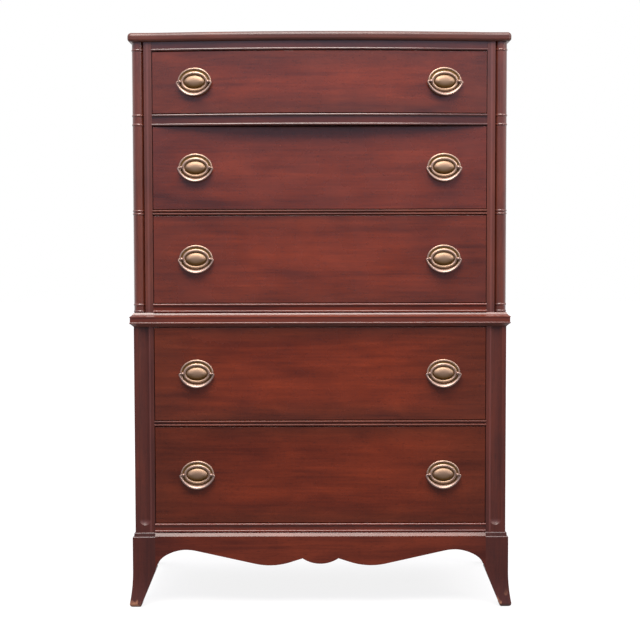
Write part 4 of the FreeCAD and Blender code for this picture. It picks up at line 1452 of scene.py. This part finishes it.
@dataclass
class Studio:
    """A pale floor, soft lamps and the camera.

    Reflections show the floor white behind the chest's front: white_from gives the Y where that begins
    and where it is full. The other pairs do the same for the walls and the ceiling by the height of the
    direction that is looked in, and for the sides and the white backdrop by its depth.
    """

    lamps: tuple[Lamp, ...] = (
        Lamp("key", math.radians(-8.0), math.radians(58.0), distance=4.5, size=2.8, power=290.0),
        Lamp("side", math.radians(62.0), math.radians(26.0), distance=3.6, size=1.3, power=44.0),
    )
    eye: Triple = (0.0, -3.767, 0.90)
    aim: Triple = (0.0, -0.224, 0.696)
    roll: float = math.radians(-0.12)
    lens: float = 83.04
    sensor_width: float = 36.0
    floor_half: float = 16.0
    floor_roughness: float = 0.9
    floor_colour: Colour = (0.20, 0.20, 0.20)
    front_floor: Colour = (0.15, 0.15, 0.15)
    floor_glow: Colour = (0.84, 0.84, 0.84)
    low_room: Colour = (0.10, 0.10, 0.11)
    high_room: Colour = (0.68, 0.68, 0.92)
    sides: Colour = (0.8, 0.8, 0.9)
    ceiling: Colour = (1.8, 1.75, 1.8)
    white_from: Pair = (-0.40, -0.10)
    wall_foot: Pair = (-0.02, 0.22)
    ceiling_foot: Pair = (0.60, 0.92)
    side_depth: Pair = (-0.75, -0.10)
    backdrop_depth: Pair = (0.0, 0.3)

    def build(self) -> None:
        """Sets the stage."""
        self.build_floor()
        self.build_world()
        self.build_lamps()
        self.build_camera()
        bpy.context.scene.view_settings.view_transform = "Standard"

    @staticmethod
    def white_share(canvas: NodeCanvas, mirrored_where: Socket) -> Socket:
        """Finds what shows the white background.

        Args:
            canvas: The canvas of the floor's material or of the world.
            mirrored_where: 1 where reflections show it too.

        Returns:
            1 where the background shows, to the camera or in a reflection or through glass.
        """
        rays = canvas.add("ShaderNodeLightPath").outputs
        mirrored = canvas.math("ADD", rays["Is Glossy Ray"], rays["Is Transmission Ray"], clamp=True)
        return canvas.math("MULTIPLY_ADD", mirrored, mirrored_where, rays["Is Camera Ray"], clamp=True)

    def build_floor(self) -> None:
        """A wide pale floor, white to the camera, and in reflections from the chest's front backwards."""
        shape = bmesh.new()
        bmesh.ops.create_grid(shape, x_segments=1, y_segments=1, size=self.floor_half)
        material, canvas, shader = new_material("floor")
        place = canvas.parts(canvas.add("ShaderNodeTexCoord").outputs["Object"])
        behind = canvas.ramp(place[1], *self.white_from)
        inputs = {
            "Base Color": canvas.mix(behind, self.front_floor, self.floor_colour),
            "Emission Color": canvas.mix(self.white_share(canvas, behind), BLACK, self.floor_glow),
            "Emission Strength": 1.0,
            "Roughness": self.floor_roughness,
            "Specular IOR Level": 0.0,
        }
        canvas.fill(shader, inputs)
        mesh = finished("floor", shape, material)
        new_object("floor", mesh)

    def build_world(self) -> None:
        """A white backdrop, and in reflections a dimmer room in front of the chest under a pale ceiling."""
        world = bpy.data.worlds.new("studio")
        bpy.context.scene.world = world
        world.use_nodes = True
        canvas = NodeCanvas(world.node_tree)
        _, depth, height = canvas.parts(canvas.add("ShaderNodeTexCoord").outputs["Generated"])
        sky = canvas.mix(canvas.ramp(height, *self.wall_foot), self.low_room, self.high_room)
        sky = canvas.mix(canvas.ramp(depth, *self.side_depth), sky, self.sides)
        sky = canvas.mix(canvas.ramp(height, *self.ceiling_foot), sky, self.ceiling)
        white = self.white_share(canvas, canvas.ramp(depth, *self.backdrop_depth))
        inputs = {"Color": canvas.mix(white, sky, WHITE), "Strength": 1.0}
        canvas.fill(world.node_tree.nodes["Background"], inputs)

    def build_lamps(self) -> None:
        """A broad lamp high in front of the chest, and a weaker one to its right."""
        for lamp in self.lamps:
            data = bpy.data.lights.new(lamp.name, "AREA")
            data.shape = "SQUARE"
            data.size = lamp.size
            data.energy = lamp.power
            data.color = lamp.colour
            piece = new_object(lamp.name, data)
            level = math.cos(lamp.elevation)
            sideways, forward = level * math.sin(lamp.turn), level * math.cos(lamp.turn)
            back = Vector((sideways, -forward, math.sin(lamp.elevation)))
            piece.location = Vector(lamp.target) + back * lamp.distance
            piece.rotation_euler = (-back).to_track_quat("-Z", "Y").to_euler()

    def build_camera(self) -> None:
        """The camera, a little above the middle of the chest and looking slightly down."""
        data = bpy.data.cameras.new("camera")
        data.lens = self.lens
        data.sensor_width = self.sensor_width
        camera = new_object("camera", data)
        eye, aim = Vector(self.eye), Vector(self.aim)
        level = (aim - eye).to_track_quat("-Z", "Y").to_matrix().to_4x4()
        camera.matrix_world = Matrix.Translation(eye) @ level @ Matrix.Rotation(self.roll, 4, "Z")
        bpy.context.scene.camera = camera


def main() -> None:
    """Dresses the case and the drawers, hangs the pulls and sets the stage."""
    logging.basicConfig(level=logging.INFO, format="%(name)s: %(message)s")
    drawer_wood = {"dark": (0.30, 0.19, 0.095), "light": (0.52, 0.37, 0.21)}
    bare = BareWood("drawer_wood_along", Grain.ALONG_Y, **drawer_wood).material()
    cross = BareWood("drawer_wood_across", Grain.ALONG_X, **drawer_wood).material()
    ply = BareWood("panel_wood", Grain.ALONG_X, dark=(0.27, 0.17, 0.09), light=(0.46, 0.32, 0.18)).material()
    steel = PlainSteel("steel").material()
    case = Carcase()
    case.dress(bare, ply, steel)
    case.build_nails(steel)
    plate_brass = AgedBrass("brass_plate").material()
    bail_brass = AgedBrass("brass_bail", (0.39, 0.272, 0.228), cloud=0.22, roughness=0.42).material()
    pull = OvalPull()
    pull.build(plate_brass, bail_brass, steel)
    looks = (
        FrontLook(gloss=0.92, tone=0.89, edge_red=0.70),
        FrontLook(gloss=0.98, tone=0.92, edge_red=0.82),
        FrontLook(gloss=0.86, tone=0.92, edge_red=0.76),
        FrontLook(gloss=0.50, tone=0.90, edge_red=0.66),
        FrontLook(gloss=0.40, tone=0.81, edge_red=0.68),
    )
    for number, look in enumerate(looks, 1):
        drawer = Drawer(number, look, pull)
        drawer.dress(bare, cross, ply)
        drawer.build()
    Studio().build()


if __name__ == "__main__":
    main()
